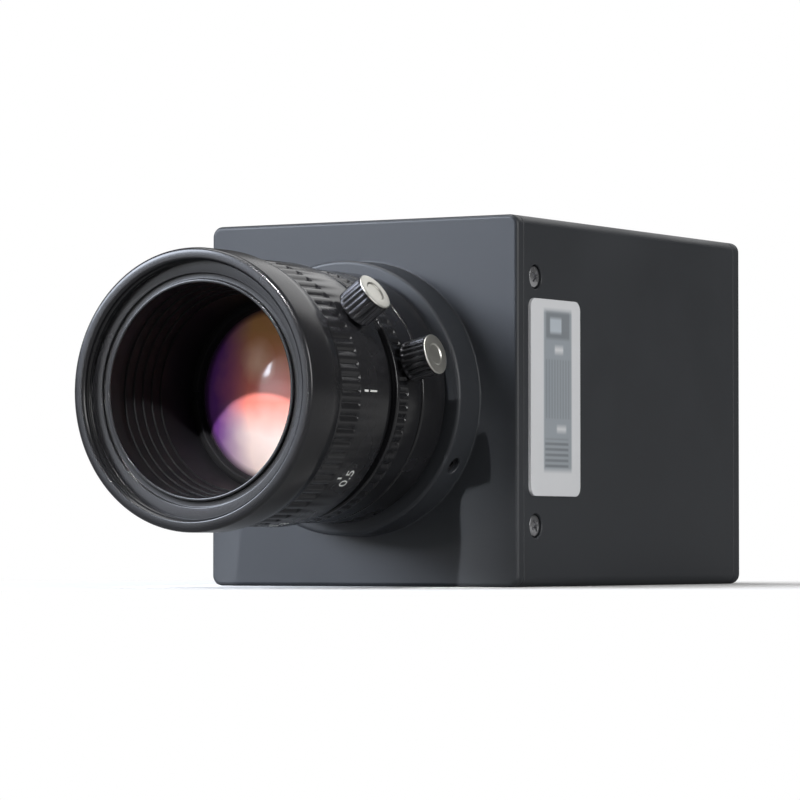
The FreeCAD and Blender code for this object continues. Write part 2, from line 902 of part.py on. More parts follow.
def mount_barrel():
    """Fixed barrel: mount thread, flange and the tube that both rings turn on."""
    flange_front = mount_face + barrel_flange_length
    bore_step = barrel_rear + nose_bore_depth
    outline = [(nose_bore, barrel_rear), (thread_radius, barrel_rear),
               (thread_radius, mount_face), (barrel_groove_radius, mount_face),
               (barrel_groove_radius, mount_face + barrel_groove_width),
               (barrel_flange_radius, mount_face + barrel_groove_width),
               (barrel_flange_radius, flange_front - ring_chamfer),
               (barrel_flange_radius - ring_chamfer, flange_front),
               (tube_radius, flange_front), (tube_radius, tube_front), (tube_bore, tube_front),
               (tube_bore, bore_step), (nose_bore, bore_step)]
    barrel = turned(outline)
    barrel = barrel.cut(radial_rod(guide_pin_radius + fit, nose_bore, barrel_flange_radius + 1,
                                   guide_pin_angle, guide_station))
    return barrel.cut(link_slot(tube_bore - 0.5, tube_radius + 0.5, 0, 0))


def barrel_collar():
    """Ring screwed on the barrel between the iris and focus rings."""
    return turned([(tube_radius + fit, collar_back), (collar_radius - ring_chamfer, collar_back),
                   (collar_radius, collar_back + ring_chamfer),
                   (collar_radius, collar_front - ring_chamfer),
                   (collar_radius - ring_chamfer, collar_front),
                   (tube_radius + fit, collar_front)])


def guide_pin():
    """Pin that keeps the front barrel from turning while the focus ring moves it."""
    return radial_rod(guide_pin_radius, cell_bore + 2 * running,
                      barrel_flange_radius - ring_chamfer, guide_pin_angle, guide_station)


def iris_ring():
    ring = turned([(tube_radius + running, iris_ring_back),
                   (iris_ring_radius - ring_chamfer, iris_ring_back),
                   (iris_ring_radius, iris_ring_back + ring_chamfer),
                   (iris_ring_radius, iris_ring_front - ring_chamfer),
                   (iris_ring_radius - ring_chamfer, iris_ring_front),
                   (tube_radius + running, iris_ring_front)])
    knurl_front = iris_ring_front - knurl_margin
    ring = ring.cut(flutes(iris_ring_radius, knurl_depth, knurl_front - iris_knurl_length,
                           knurl_front, knurl_count))
    ring = ring.cut(radial_rod(link_pin_radius + fit, tube_bore,
                               tube_radius + running + link_pin_head + fit, link_pin_angle,
                               link_station))
    return ring.cut(lock_hole(iris_lock_angle, iris_ring_back + iris_lock_setback))


def iris_link_pin():
    """Pin from the iris ring through the barrel's slots to the cam ring."""
    return radial_rod(link_pin_radius, cam_radius - link_pin_depth,
                      tube_radius + running + link_pin_head, link_pin_angle, link_station)


def focus_ring():
    """Ring with a bearing on the barrel behind and the helicoid nut in front."""
    step = tube_front + ring_gap / 2
    ring = turned([(tube_radius + running, focus_ring_back),
                   (focus_ring_radius - 2 * ring_chamfer, focus_ring_back),
                   (focus_ring_radius, focus_ring_back + 2 * ring_chamfer),
                   (focus_ring_radius, focus_ring_front - ring_chamfer),
                   (focus_ring_radius - ring_chamfer, focus_ring_front),
                   (helicoid_radius + running, focus_ring_front),
                   (helicoid_radius + running, step), (tube_radius + running, step)])
    knurl_front = focus_ring_front - knurl_margin
    ring = ring.cut(flutes(focus_ring_radius, knurl_depth, knurl_front - focus_knurl_length,
                           knurl_front, knurl_count))
    return ring.cut(lock_hole(focus_lock_angle, focus_ring_back + focus_lock_setback))


def lock_hole(angle, station):
    return radial_rod(lock_shank_radius + running, tube_radius, rim_radius, angle, station)


def lock_screw(ring_radius, angle, station):
    """Knurled thumbscrew through a ring, its tip on the barrel."""
    tip = tube_radius + lock_tip_gap
    under_head = ring_radius + lock_head_gap
    shank = rod(lock_shank_radius, tip - under_head, 0)
    head = rod(lock_head_radius, 0, lock_head_height)
    head = head.makeChamfer(lock_knurl_depth, end_edges(head, lock_head_height))
    head = head.cut(flutes(lock_head_radius, lock_knurl_depth, lock_knurl_depth,
                           lock_head_height - 2 * lock_knurl_depth, lock_knurl_count))
    return aimed(shank.fuse(head), polar(under_head, angle, station), polar(1, angle, 0))


def iris_lock_screw():
    return lock_screw(iris_ring_radius, iris_lock_angle, iris_ring_back + iris_lock_setback)


def focus_lock_screw():
    return lock_screw(focus_ring_radius, focus_lock_angle, focus_ring_back + focus_lock_setback)


# ---------------------------------------------------------------------------------------------
# Front barrel and optics
# ---------------------------------------------------------------------------------------------

def baffle_outline():
    """Stepped cone inside the hood, from its mouth down to the throat."""
    drop = (hood_radius - throat_radius) / baffle_count
    top = rim_front - filter_depth - hood_lip_length
    points = []
    for index in range(baffle_count):
        radius = hood_radius - drop * index
        back = top - baffle_length * (index + 1)
        points += [(radius, back + baffle_length), (radius - drop + baffle_lip, back)]
    return points + [(throat_radius, top - baffle_length * baffle_count)]


def front_barrel():
    """Sliding barrel: rim with filter thread, lipped and stepped hood, helicoid and lens tube."""
    helicoid_back = tube_front + 1.5 * ring_gap
    seat_lip = front_element_station - element_seat
    stop_ring = rim_front - filter_depth
    groove_bottom = stop_ring - stop_groove_depth
    outline = [(cell_bore, cell_rear), (cell_radius, cell_rear), (cell_radius, helicoid_back),
               (helicoid_radius, helicoid_back), (helicoid_radius, rim_back),
               (rim_back_radius, rim_back), (rim_radius, rim_back + rim_taper),
               (rim_radius, rim_front - rim_chamfer), (rim_radius - rim_chamfer, rim_front),
               (filter_radius, rim_front), (filter_radius, stop_ring),
               (stop_groove_outer, stop_ring), (stop_groove_outer, groove_bottom),
               (stop_groove_inner, groove_bottom), (stop_groove_inner, stop_ring),
               (hood_lip_radius, stop_ring), (hood_lip_radius, stop_ring - hood_lip_length)]
    outline += baffle_outline()
    outline += [(throat_radius, element_front + retainer_height),
                (retainer_radius + fit, element_front + retainer_height),
                (retainer_radius + fit, element_front), (cell_bore, element_front),
                (cell_bore, front_element_station),
                (cell_bore - seal_width, front_element_station),
                (cell_bore - seal_width, seat_lip), (cell_bore, seat_lip)]
    barrel = turned(outline)
    barrel = barrel.cut(link_slot(cell_bore - 0.2, cell_radius + 0.2, focus_travel, 0))
    slot_width = 2 * (guide_pin_radius + running)
    slot_front = guide_station + guide_pin_radius + running
    slot_height = 2 * (cell_wall + 2 * running)
    slot = block(slot_width, slot_height, cell_rear - 1, slot_front, 0, cell_radius)
    slot.rotate(Vector(0, 0, 0), Vector(0, 0, 1), guide_pin_angle - 90)
    return barrel.cut(slot)


def front_element():
    return lens_element(front_element_radius, front_element_station, element_front,
                        front_element_hollow, front_element_bulge, front_element_flat)


def front_retainer():
    """Threaded ring over the front element, with two slots for a spanner."""
    inner = front_element_radius - front_element_flat
    ring = tube(retainer_radius, inner, element_front, element_front + retainer_height)
    slot = block(2 * retainer_radius + 1, retainer_slot, element_front + retainer_height / 2,
                 element_front + retainer_height)
    return ring.cut(slot)


def second_cell():
    """Sleeve for the second element, screwed into the front barrel's lip."""
    lip_top = front_element_station - fit
    seat = second_cell_rear + second_lip
    step = front_element_station - element_seat - ring_gap
    return turned([(second_radius - second_flat, second_cell_rear),
                   (second_cell_radius, second_cell_rear), (second_cell_radius, step),
                   (cell_bore - seal_width - fit, step), (cell_bore - seal_width - fit, lip_top),
                   (second_radius + fit, lip_top), (second_radius + fit, seat),
                   (second_radius - second_flat, seat)])


def second_element():
    back = second_cell_rear + second_lip
    return lens_element(second_radius, back, back + second_edge, second_hollow, second_bulge,
                        second_flat)


def rear_cell():
    """Rear nose of the lens, holding the doublet and the rear element."""
    lip_back = doublet_station - rear_cell_lip
    lip_radius = rear_radius - rear_flat
    return turned([(rear_radius + fit, rear_cell_rear), (rear_nose_radius, rear_cell_rear),
                   (rear_nose_radius, cell_rear), (cell_bore - fit, cell_rear),
                   (cell_bore - fit, rear_cell_front), (rear_radius + fit, rear_cell_front),
                   (rear_radius + fit, doublet_station), (lip_radius, doublet_station),
                   (lip_radius, lip_back), (rear_radius + fit, lip_back)])


def doublet_back():
    front = doublet_station + doublet_back_edge
    return lens_element(rear_radius, doublet_station, front, doublet_back_bulge / 3,
                        -doublet_joint_bulge, rear_flat)


def doublet_front():
    """Hollow-faced half of the cemented pair, resting on the other's domed face."""
    back = doublet_station + doublet_back_edge
    return lens_element(rear_radius, back, back + doublet_front_edge, doublet_joint_bulge,
                        doublet_front_bulge / 4, rear_flat)


def rear_element():
    front = doublet_station - rear_cell_lip
    return lens_element(rear_radius, front - rear_element_edge, front, rear_element_bulge / 3,
                        -rear_element_bulge / 3, rear_flat)


def rear_retainer():
    front = doublet_station - rear_cell_lip - rear_element_edge
    return tube(rear_radius, rear_radius - rear_flat, front - rear_retainer_height, front)


# ---------------------------------------------------------------------------------------------
# Iris diaphragm
# ---------------------------------------------------------------------------------------------

def pivot_angle(index):
    return 360 * index / blade_count


def drive_place(turn):
    """Drive pin of the first blade, in the cam ring's own frame, when the ring has turned."""
    swing = turn * blade_swing / iris_turn
    arm = radians(drive_angle + swing)
    x = pivot_circle + drive_arm * cos(arm)
    y = drive_arm * sin(arm)
    back = radians(-turn)
    return Vector(x * cos(back) - y * sin(back), x * sin(back) + y * cos(back), 0)


def cam_slot():
    """Slot that swings the first blade evenly as the cam ring turns."""
    steps = 12
    half_width = drive_radius + running
    centres = [drive_place(iris_turn * k / steps) for k in range(steps + 1)]
    small = 1e-3
    tangents = [(drive_place(iris_turn * k / steps + small)
                 - drive_place(iris_turn * k / steps - small)).normalize()
                for k in range(steps + 1)]
    normals = [Vector(-t.y, t.x, 0) for t in tangents]
    left = Part.BSplineCurve()
    left.interpolate([c + n * half_width for c, n in zip(centres, normals)])
    right = Part.BSplineCurve()
    right.interpolate([c - n * half_width for c, n in zip(centres, normals)])

    def end_cap(k, outward):
        return Part.Arc(centres[k] + normals[k] * half_width,
                        centres[k] + tangents[k] * half_width * outward,
                        centres[k] - normals[k] * half_width).toShape()

    edges = [left.toShape(), end_cap(-1, 1), right.toShape(), end_cap(0, -1)]
    wire = Part.Wire(Part.sortEdges(edges)[0])
    slot = Part.Face(wire).extrude(Vector(0, 0, cam_disc_thickness))
    slot.translate(Vector(0, 0, cam_back))
    return slot


def iris_cam_ring():
    """Disc with a cam slot for each blade, and a skirt grooved for the link pin."""
    disc_front = cam_back + cam_disc_thickness
    ring = turned([(iris_hole_radius, cam_back), (cam_radius, cam_back), (cam_radius, cam_front),
                   (cam_skirt_bore, cam_front), (cam_skirt_bore, disc_front),
                   (iris_hole_radius, disc_front)])
    slots = []
    for index in range(blade_count):
        slot = cam_slot()
        slot.rotate(Vector(0, 0, 0), Vector(0, 0, 1), pivot_angle(index))
        slots.append(slot)
    ring = ring.cut(slots)
    bottom = cam_radius - link_pin_depth - running
    groove = block(2 * (link_pin_radius + running), 2.0, cam_back - 1, cam_front + 1, 0,
                   bottom + 1.0)
    groove.rotate(Vector(0, 0, 0), Vector(0, 0, 1), link_pin_angle - 90)
    return ring.cut(groove)


def iris_base():
    """Fixed plate with a hole for each blade's pivot."""
    plate = tube(cell_bore - fit, iris_hole_radius, rear_cell_front, iris_base_front)
    holes = [rod(pivot_radius + running, rear_cell_front, iris_base_front, x, y)
             for x, y in circle_places(blade_count, pivot_circle)]
    return plate.cut(holes)


def iris_blade(index):
    """Curved leaf with a pivot pin behind and a drive pin in front, at its own level."""
    level = blades_back + blade_pitch * index
    top = level + blade_thickness
    leaf = barrel_sector(blade_inner_radius, blade_outer_radius, level, top, 0, blade_span)
    end_radius = (blade_outer_radius - blade_inner_radius) / 2
    tip = polar((blade_outer_radius + blade_inner_radius) / 2, blade_span, 0)
    leaf = leaf.fuse(rod(end_radius, level, top, tip.x, tip.y))
    arm = radians(drive_angle)
    drive = Vector(pivot_circle + drive_arm * cos(arm), drive_arm * sin(arm), level)
    pivot = Vector(pivot_circle, 0, level)
    shoulder = Vector(blade_outer_radius - end_radius, 0, level)
    tab = [rod(pivot_radius + tab_margin, level, top, pivot.x, pivot.y),
           rod(drive_radius + tab_margin, level, top, drive.x, drive.y),
           rod(end_radius, level, top, shoulder.x, shoulder.y)]
    web = strip(pivot, drive, 2 * drive_radius, blade_thickness)
    neck = strip(shoulder, pivot, 2 * pivot_radius, blade_thickness)
    leaf = leaf.fuse(tab + [web, neck]).removeSplitter()
    pins = [rod(pivot_radius, rear_cell_front + fit, level, pivot.x, pivot.y),
            rod(drive_radius, top, cam_back + cam_disc_thickness, drive.x, drive.y)]
    leaf = leaf.fuse(pins)
    leaf.rotate(Vector(0, 0, 0), Vector(0, 0, 1), pivot_angle(index))
    return leaf


def strip(start, end, width, thickness):
    """Flat bar between two points."""
    along = (end - start).normalize()
    across = Vector(-along.y, along.x, 0) * (width / 2)
    corners = [start + across, end + across, end - across, start - across]
    face = Part.Face(Part.makePolygon(corners + corners[:1]))
    return face.extrude(Vector(0, 0, thickness))


# ---------------------------------------------------------------------------------------------
# Output
# ---------------------------------------------------------------------------------------------

PIECES = {
    "front_block": front_block, "housing": housing, "rear_cover": rear_cover,
    "front_gasket": front_gasket, "rear_gasket": rear_gasket,
    "rear_cover_screws": rear_cover_screws, "side_screws": side_screws,
    "side_plate": side_plate, "tripod_insert": tripod_insert,
    "mount_ring": mount_ring, "mount_ring_screws": mount_ring_screws,
    "sensor_window": sensor_window, "window_seal": window_seal,
    "image_sensor": image_sensor, "sensor_glass": sensor_glass,
    "sensor_board": sensor_board, "processor_board": processor_board, "io_board": io_board,
    "sensor_standoffs": sensor_standoffs, "board_standoffs": board_standoffs,
    "board_screws": board_screws, "stack_plugs": stack_plugs,
    "processor_chip": processor_chip, "memory_chips": memory_chips,
    "power_connector_shell": power_connector_shell,
    "power_connector_insert": power_connector_insert,
    "power_connector_pins": power_connector_pins,
    "network_connector_shell": network_connector_shell,
    "network_connector_insert": network_connector_insert,
    "network_connector_contacts": network_connector_contacts,
    "connector_nuts": connector_nuts,
    "status_light_pipes": status_light_pipes, "status_leds": status_leds,
    "mount_barrel": mount_barrel, "barrel_collar": barrel_collar, "guide_pin": guide_pin,
    "iris_ring": iris_ring, "iris_link_pin": iris_link_pin, "iris_lock_screw": iris_lock_screw,
    "focus_ring": focus_ring, "focus_lock_screw": focus_lock_screw,
    "front_barrel": front_barrel, "front_element": front_element,
    "front_retainer": front_retainer, "second_cell": second_cell,
    "second_element": second_element, "rear_cell": rear_cell,
    "doublet_front": doublet_front, "doublet_back": doublet_back,
    "rear_element": rear_element, "rear_retainer": rear_retainer,
    "iris_base": iris_base, "iris_cam_ring": iris_cam_ring,
}


def export(name, shape):
    """Turn a piece from the lens frame into the camera's frame and write it."""
    shape = shape.copy()
    shape.rotate(Vector(0, 0, 0), Vector(1, 0, 0), 90)
    shape.translate(Vector(0, -tripod_setback, axis_height))
    shape.exportStep(os.path.join("parts", name + ".step"))
    print(name, len(shape.Solids), "solids", round(shape.Volume, 1), "mm3", shape.isValid())


def main():
    os.makedirs("parts", exist_ok=True)
    for name, make in PIECES.items():
        export(name, make())
    for index in range(blade_count):
        export("iris_blade_%d" % (index + 1), iris_blade(index))


main()
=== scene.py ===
import json
from math import atan2, cos, pi, radians, sin, sqrt

import bmesh
import bpy
from mathutils import Matrix, Vector


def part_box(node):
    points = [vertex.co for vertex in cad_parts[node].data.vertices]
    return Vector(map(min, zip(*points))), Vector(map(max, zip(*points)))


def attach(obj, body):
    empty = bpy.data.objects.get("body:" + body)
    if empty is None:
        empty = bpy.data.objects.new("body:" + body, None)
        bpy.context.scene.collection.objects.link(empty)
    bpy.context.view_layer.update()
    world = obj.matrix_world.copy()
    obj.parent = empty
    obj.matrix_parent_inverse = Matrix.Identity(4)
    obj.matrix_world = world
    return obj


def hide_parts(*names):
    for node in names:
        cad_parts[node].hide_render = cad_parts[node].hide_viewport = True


bl_info = {
    "name": "Machine vision camera",
    "version": (1, 0, 0),
    "blender": (4, 5, 0),
    "location": "View3D > Sidebar > Vision Camera",
    "description": "Dresses the box camera body and its C-mount lens",
    "category": "Object",
}

# The frame's +Z is up and the lens looks along -Y. Lens pieces are turned round an axis along Y.
# A place along that axis is called a station: metres forward of the body's front face.

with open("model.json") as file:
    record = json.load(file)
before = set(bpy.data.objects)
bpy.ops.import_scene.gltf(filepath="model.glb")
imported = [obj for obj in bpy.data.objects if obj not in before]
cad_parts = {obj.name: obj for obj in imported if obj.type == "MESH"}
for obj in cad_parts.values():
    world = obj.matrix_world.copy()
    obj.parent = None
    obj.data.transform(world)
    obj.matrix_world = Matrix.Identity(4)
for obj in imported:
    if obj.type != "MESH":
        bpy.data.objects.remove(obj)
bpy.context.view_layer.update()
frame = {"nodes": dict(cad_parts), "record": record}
MM = 0.001
ROUND = 256                   # segments of a turned lens piece
RING_ROUND = 768              # segments of a ring with a grip band
RING_BORE = 13.45 * MM        # bore of the iris and focus rings


# ---------------------------------------------------------------------------------------------
# Places read from the frame
# ---------------------------------------------------------------------------------------------

FRONT_FLANGE = 1.5 * MM       # front plate's edge that shows outside the housing
REARWARDS = Vector((0, 1, 0))


def middle(node):
    low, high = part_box(node)
    return (Vector(low) + Vector(high)) / 2


AXIS = middle("front_barrel")
FACE_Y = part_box("housing")[0][1] - FRONT_FLANGE


def station_of(y):
    return FACE_Y - y


def back_of(node):
    return station_of(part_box(node)[1][1])


def front_of(node):
    return station_of(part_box(node)[0][1])


def radius_of(node):
    low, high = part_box(node)
    return (high[0] - low[0]) / 2


def polar(radius, angle, station):
    """Point at a radius, an angle in degrees from +X towards +Z, and a station."""
    turn = radians(angle)
    return Vector((AXIS.x + radius * cos(turn), FACE_Y - station, AXIS.z + radius * sin(turn)))


# ---------------------------------------------------------------------------------------------
# Sizes and colours
# ---------------------------------------------------------------------------------------------

def length(name, text, value):
    return bpy.props.FloatProperty(name=name, description=text, default=value, unit="LENGTH",
                                   subtype="DISTANCE", precision=5, min=0.0)


def colour(name, text, value):
    return bpy.props.FloatVectorProperty(name=name, description=text, default=value, size=3,
                                         subtype="COLOR", min=0.0, max=1.0)


def count(name, text, value):
    return bpy.props.IntProperty(name=name, description=text, default=value, min=1)


class BodySizes(bpy.types.PropertyGroup):
    """Box body: front plate, housing, rear cover and their screws."""
    edge: length("Long edges", "Radius of the body's four long edges", 1.3 * MM)
    face_edge: length("Face edge", "Rounding round the front and rear faces", 0.5 * MM)
    joint_edge: length("Joint edge", "Broken edge each side of a joint line", 0.12 * MM)
    wall: length("Wall", "Sides and top of the housing", 2.0 * MM)
    floor: length("Floor", "Base of the housing", 4.0 * MM)
    corner_inset: length("Corner inset", "Rear screws, from the body's sides", 4.2 * MM)
    channel: length("Screw channel", "Radius of the channel in each corner", 2.1 * MM)
    boss_edge: length("Boss edge", "Chamfer at the lens boss's mouth", 0.5 * MM)
    boss_root: length("Boss root", "Fillet where the boss meets the front face", 0.45 * MM)
    side_head: length("Side screw head", "Radius of a side screw's head", 1.35 * MM)
    rear_head: length("Rear screw head", "Radius of a rear screw's head", 2.2 * MM)
    side_inset: length("Side screw inset", "Side screws, from base and top", 7.4 * MM)
    side_setback: length("Side screw setback", "Side screws behind the front face", 4.5 * MM)


class LensSizes(bpy.types.PropertyGroup):
    """Lens: rings, hood, scales and lock screws."""
    knurls: count("Knurls", "Grooves round each grip band", 64)
    knurl_depth: length("Knurl depth", "Depth of a groove in a grip band", 0.28 * MM)
    ring_edge: length("Ring edge", "Rounded edge of each lens ring", 0.3 * MM)
    filter_pitch: length("Filter pitch", "Pitch of the filter thread", 0.5 * MM)
    filter_depth: length("Filter depth", "Depth of the threaded mouth", 1.8 * MM)
    stop_width: length("Stop ring", "Width of the flat ring behind the thread", 1.4 * MM)
    groove_width: length("Stop groove", "Width of the groove inside that ring", 0.7 * MM)
    groove_depth: length("Groove depth", "Depth of that groove", 0.4 * MM)
    lip_width: length("Lip", "Width of the hood's lip inside the groove", 0.4 * MM)
    lip_length: length("Lip length", "Straight bore behind the lip", 2.0 * MM)
    hood_radius: length("Hood radius", "Widest light baffle", 12.9 * MM)
    throat_radius: length("Throat radius", "Narrowest light baffle", 11.6 * MM)
    baffles: count("Baffles", "Steps inside the hood", 5)
    baffle_length: length("Baffle length", "Length of one step", 1.48 * MM)
    lock_grip: count("Lock screw grip", "Grooves round a lock screw's head", 20)
    lock_head: length("Lock screw head", "Radius of a lock screw's head", 2.4 * MM)
    lock_height: length("Lock screw height", "Height of a lock screw's head", 3.6 * MM)
    lock_gap: length("Lock screw gap", "Ring to the lock screw's head", 0.5 * MM)
    digit_height: length("Digits", "Height of the digits on the focus scale", 1.5 * MM)


class SocketSizes(bpy.types.PropertyGroup):
    """Two round sockets at the rear."""
    flat: length("Hexagon", "Across the hexagon's flats", 15.0 * MM)
    hexagon_depth: length("Hexagon depth", "Thickness of the hexagon", 2.5 * MM)
    thread_pitch: length("Thread pitch", "Pitch of the sockets' threads", 1.0 * MM)
    thread_depth: length("Thread depth", "Depth of the sockets' threads", 0.35 * MM)


class Finishes(bpy.types.PropertyGroup):
    """Colours of the camera's finishes."""
    body: colour("Body anodising", "Charcoal finish of the body", (0.031, 0.034, 0.039))
    lens: colour("Lens anodising", "Satin black of the lens rings", (0.012, 0.012, 0.0135))
    hood: colour("Hood black", "Light-absorbing black inside the lens", (0.006, 0.006, 0.007))
    steel: colour("Steel", "Bright screws", (0.62, 0.62, 0.64))
    satin_steel: colour("Satin steel", "End faces of the lock screws", (0.66, 0.65, 0.60))
    dark_steel: colour("Dark steel", "Blackened screws", (0.07, 0.07, 0.075))
    nickel: colour("Nickel", "Plated sockets and mount ring", (0.55, 0.54, 0.51))
    brass: colour("Brass", "Pins and spacers", (0.72, 0.53, 0.25))
    plate: colour("Plate", "White of the side plate", (0.83, 0.84, 0.86))
    print_grey: colour("Print", "Grey printed on the side plate", (0.20, 0.22, 0.24))
    mark: colour("Marks", "White of the engraved scales", (0.80, 0.81, 0.78))
    # The five coating colours below are painted reflections of the lamps in the lens coating; the pale
    # orange glow is a painted highlight
    painted_reflection_top: colour("Coating, top", "Lens coating where it looks brown", (0.55, 0.27, 0.11))
    painted_reflection_middle: colour("Coating, middle", "Where it looks salmon", (0.85, 0.24, 0.19))
    painted_reflection_side: colour("Coating, side", "Where it looks purple", (0.15, 0.045, 0.24))
    painted_reflection_low: colour("Coating, low", "Where it looks rose", (0.82, 0.66, 0.62))
    painted_highlight_glow: colour("Coating, glow", "Where it looks pale orange", (0.98, 0.66, 0.48))
    board: colour("Board", "Solder resist of the boards", (0.03, 0.13, 0.06))


class Studio(bpy.types.PropertyGroup):
    """Floor, lamps and camera."""
    floor_shade: bpy.props.FloatProperty(name="Floor shade", default=0.86, min=0.0, max=1.0,
                                         description="Lightness of the floor")
    floor_bounce: bpy.props.FloatProperty(name="Floor bounce", default=0.34, min=0.0, max=1.0,
                                          description="Lightness of the floor in reflections")
    fade_start: length("Fade start", "Where the floor begins to fade to white", 40.0 * MM)
    fade_end: length("Fade end", "Where the floor is plain white", 92.0 * MM)
    distance: length("Distance", "Camera to the body's front face", 535.0 * MM)
    azimuth: bpy.props.FloatProperty(name="Azimuth", default=radians(31.36), subtype="ANGLE",
                                     description="How far round towards +X the camera stands")
    eye: length("Eye height", "Camera above the floor", 5.0 * MM)
    lens: bpy.props.FloatProperty(name="Focal length", default=196.0, min=10.0,
                                  description="Of the camera's lens, in millimetres")


def sizes(kind):
    return getattr(bpy.context.scene, "vision_camera_" + kind)


# ---------------------------------------------------------------------------------------------
# Shape helpers
# ---------------------------------------------------------------------------------------------

def soften(points, closed=True, steps=4):
    """Rounds the corners of an outline of (a, b, radius) points. Gives (a, b) points."""
    made = []
    total = len(points)
    for index, point in enumerate(points):
        here = Vector(point[:2])
        radius = point[2] if len(point) > 2 else 0.0
        at_end = not closed and index in (0, total - 1)
        if radius <= 0.0 or at_end:
            made.append(here)
            continue
        before = Vector(points[index - 1][:2]) - here
        after = Vector(points[(index + 1) % total][:2]) - here
        reach = min(radius, 0.48 * before.length, 0.48 * after.length)
        before = before.normalized() * reach
        after = after.normalized() * reach
        for step in range(steps + 1):
            share = step / steps
            made.append(here + before * (1 - share) ** 2 + after * share ** 2)
    return made


def linked(name, data):
    """New object with its data, put into the scene."""
    made = bpy.data.objects.new(name, data)
    bpy.context.collection.objects.link(made)
    return made


def place(mesh, name, body, material):
    """Puts a finished mesh into the scene as a piece of a CAD body."""
    piece = linked(name, mesh)
    mesh.materials.clear()
    mesh.materials.append(material)
    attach(piece, body)
    return piece


def mesh_of(bm, name, crease=35.0):
    """Turns a bmesh into a mesh with its faces outwards and smooth up to an angle."""
    bmesh.ops.remove_doubles(bm, verts=bm.verts, dist=1e-8)
    bmesh.ops.recalc_face_normals(bm, faces=bm.faces)
    mesh = bpy.data.meshes.new(name)
    bm.to_mesh(mesh)
    bm.free()
    mesh.shade_smooth()
    mesh.set_sharp_from_angle(angle=radians(crease))
    return mesh


def turn_outline(bm, outline, segments, closed, frame_matrix):
    """Adds to a bmesh the surface turned from (radius, height) points round a matrix's Z."""
    rings = []
    for radius, height in outline:
        if radius < 1e-7:
            rings.append([bm.verts.new(frame_matrix @ Vector((0, 0, height)))])
            continue
        rings.append([bm.verts.new(frame_matrix @ Vector((radius * cos(2 * pi * k / segments),
                                                          radius * sin(2 * pi * k / segments),
                                                          height)))
                      for k in range(segments)])
    pairs = list(zip(rings, rings[1:]))
    if closed:
        pairs.append((rings[-1], rings[0]))
    for ring, other in pairs:
        if len(ring) == 1 and len(other) == 1:
            continue
        for k in range(segments):
            after = (k + 1) % segments
            corners = [ring[k % len(ring)], ring[after % len(ring)],
                       other[after % len(other)], other[k % len(other)]]
            unique = list(dict.fromkeys(corners))
            if len(unique) > 2:
                bm.faces.new(unique)


def lens_matrix(centre=AXIS):
    """Turns a +Z outline so that its height is a station along an axis like the lens's."""
    return Matrix.Translation((centre.x, FACE_Y, centre.z)) @ Matrix.Rotation(pi / 2, 4, "X")


def aimed(origin, direction):
    """Matrix that takes +Z to a direction and the origin to a place."""
    turn = Vector((0, 0, 1)).rotation_difference(Vector(direction)).to_matrix().to_4x4()
    return Matrix.Translation(origin) @ turn


def turned(name, points, segments=ROUND, closed=True, matrix=None, crease=35.0):
    """Mesh turned round the lens axis, or another, from (radius, height, rounding) points."""
    bm = bmesh.new()
    turn_outline(bm, soften(points, closed), segments, closed,
                 matrix if matrix is not None else lens_matrix())
    return mesh_of(bm, name, crease)


def loft(bm, sections):
    """Closed skin through outlines that have the same number of points."""
    rings = [[bm.verts.new(point) for point in section] for section in sections]
    for ring, other in zip(rings, rings[1:]):
        for k in range(len(ring)):
            after = (k + 1) % len(ring)
            bm.faces.new([ring[k], ring[after], other[after], other[k]])
    bm.faces.new(rings[0])
    bm.faces.new(rings[-1])


def rounded_rectangle(half_width, low, high, corner, inset, y, steps=8):
    """Points of an upright rounded rectangle at a depth y, pulled in by an inset."""
    left, right = -half_width + inset, half_width - inset
    bottom, top = low + inset, high - inset
    radius = max(corner - inset, 0.05 * MM)
    centres = [(right - radius, top - radius, 0), (left + radius, top - radius, 90),
               (left + radius, bottom + radius, 180), (right - radius, bottom + radius, 270)]
    points = []
    for x, z, start in centres:
        for step in range(steps + 1):
            angle = radians(start + 90 * step / steps)
            points.append(Vector((x + radius * cos(angle), y, z + radius * sin(angle))))
    return points


def body_slab(name, back, front, back_edge, front_edge):
    """Rounded slab of the body's outline between two stations, each end edge rounded."""
    body = sizes("body")
    low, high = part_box("housing")
    steps = 5
    sections = []
    for step in range(steps + 1):
        angle = pi / 2 * step / steps
        sections.append((back + back_edge * (1 - sin(angle)), back_edge * (1 - cos(angle))))
    sections = [(station, inset) for station, inset in reversed(sections)]
    for step in range(steps + 1):
        angle = pi / 2 * step / steps
        sections.append((front - front_edge * (1 - sin(angle)), front_edge * (1 - cos(angle))))
    sections = sorted(set(sections))
    bm = bmesh.new()
    loft(bm, [rounded_rectangle(high[0], low[2], high[2], body.edge, inset, FACE_Y - station)
              for station, inset in sections])
    return mesh_of(bm, name)


def cavity_outline(clearance, radius):
    """Space between the screw channels as (x, z, rounding) points."""
    body = sizes("body")
    low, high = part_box("housing")
    half = high[0] - body.wall - clearance
    bottom = low[2] + body.floor + clearance
    top = high[2] - body.wall - clearance
    x = high[0] - body.corner_inset - body.channel - clearance
    z_top = high[2] - body.corner_inset - body.channel - clearance
    z_low = low[2] + body.corner_inset + body.channel + clearance
    return [(half, z_top, 0), (x, z_top, radius), (x, top, 0), (-x, top, 0),
            (-x, z_top, radius), (-half, z_top, 0), (-half, z_low, 0), (-x, z_low, radius),
            (-x, bottom, 0), (x, bottom, 0), (x, z_low, radius), (half, z_low, 0)]


def prism(name, outline, back, front, crease=35.0):
    """Solid between two stations from an outline of (x, z, rounding) points."""
    bm = bmesh.new()
    flat = soften(outline)
    loft(bm, [[Vector((x, FACE_Y - station, z)) for x, z in flat] for station in (back, front)])
    return mesh_of(bm, name, crease)


def joined(name, meshes):
    """One mesh from several."""
    bm = bmesh.new()
    for mesh in meshes:
        bm.from_mesh(mesh)
        bpy.data.meshes.remove(mesh)
    mesh = bpy.data.meshes.new(name)
    bm.to_mesh(mesh)
    bm.free()
    return mesh


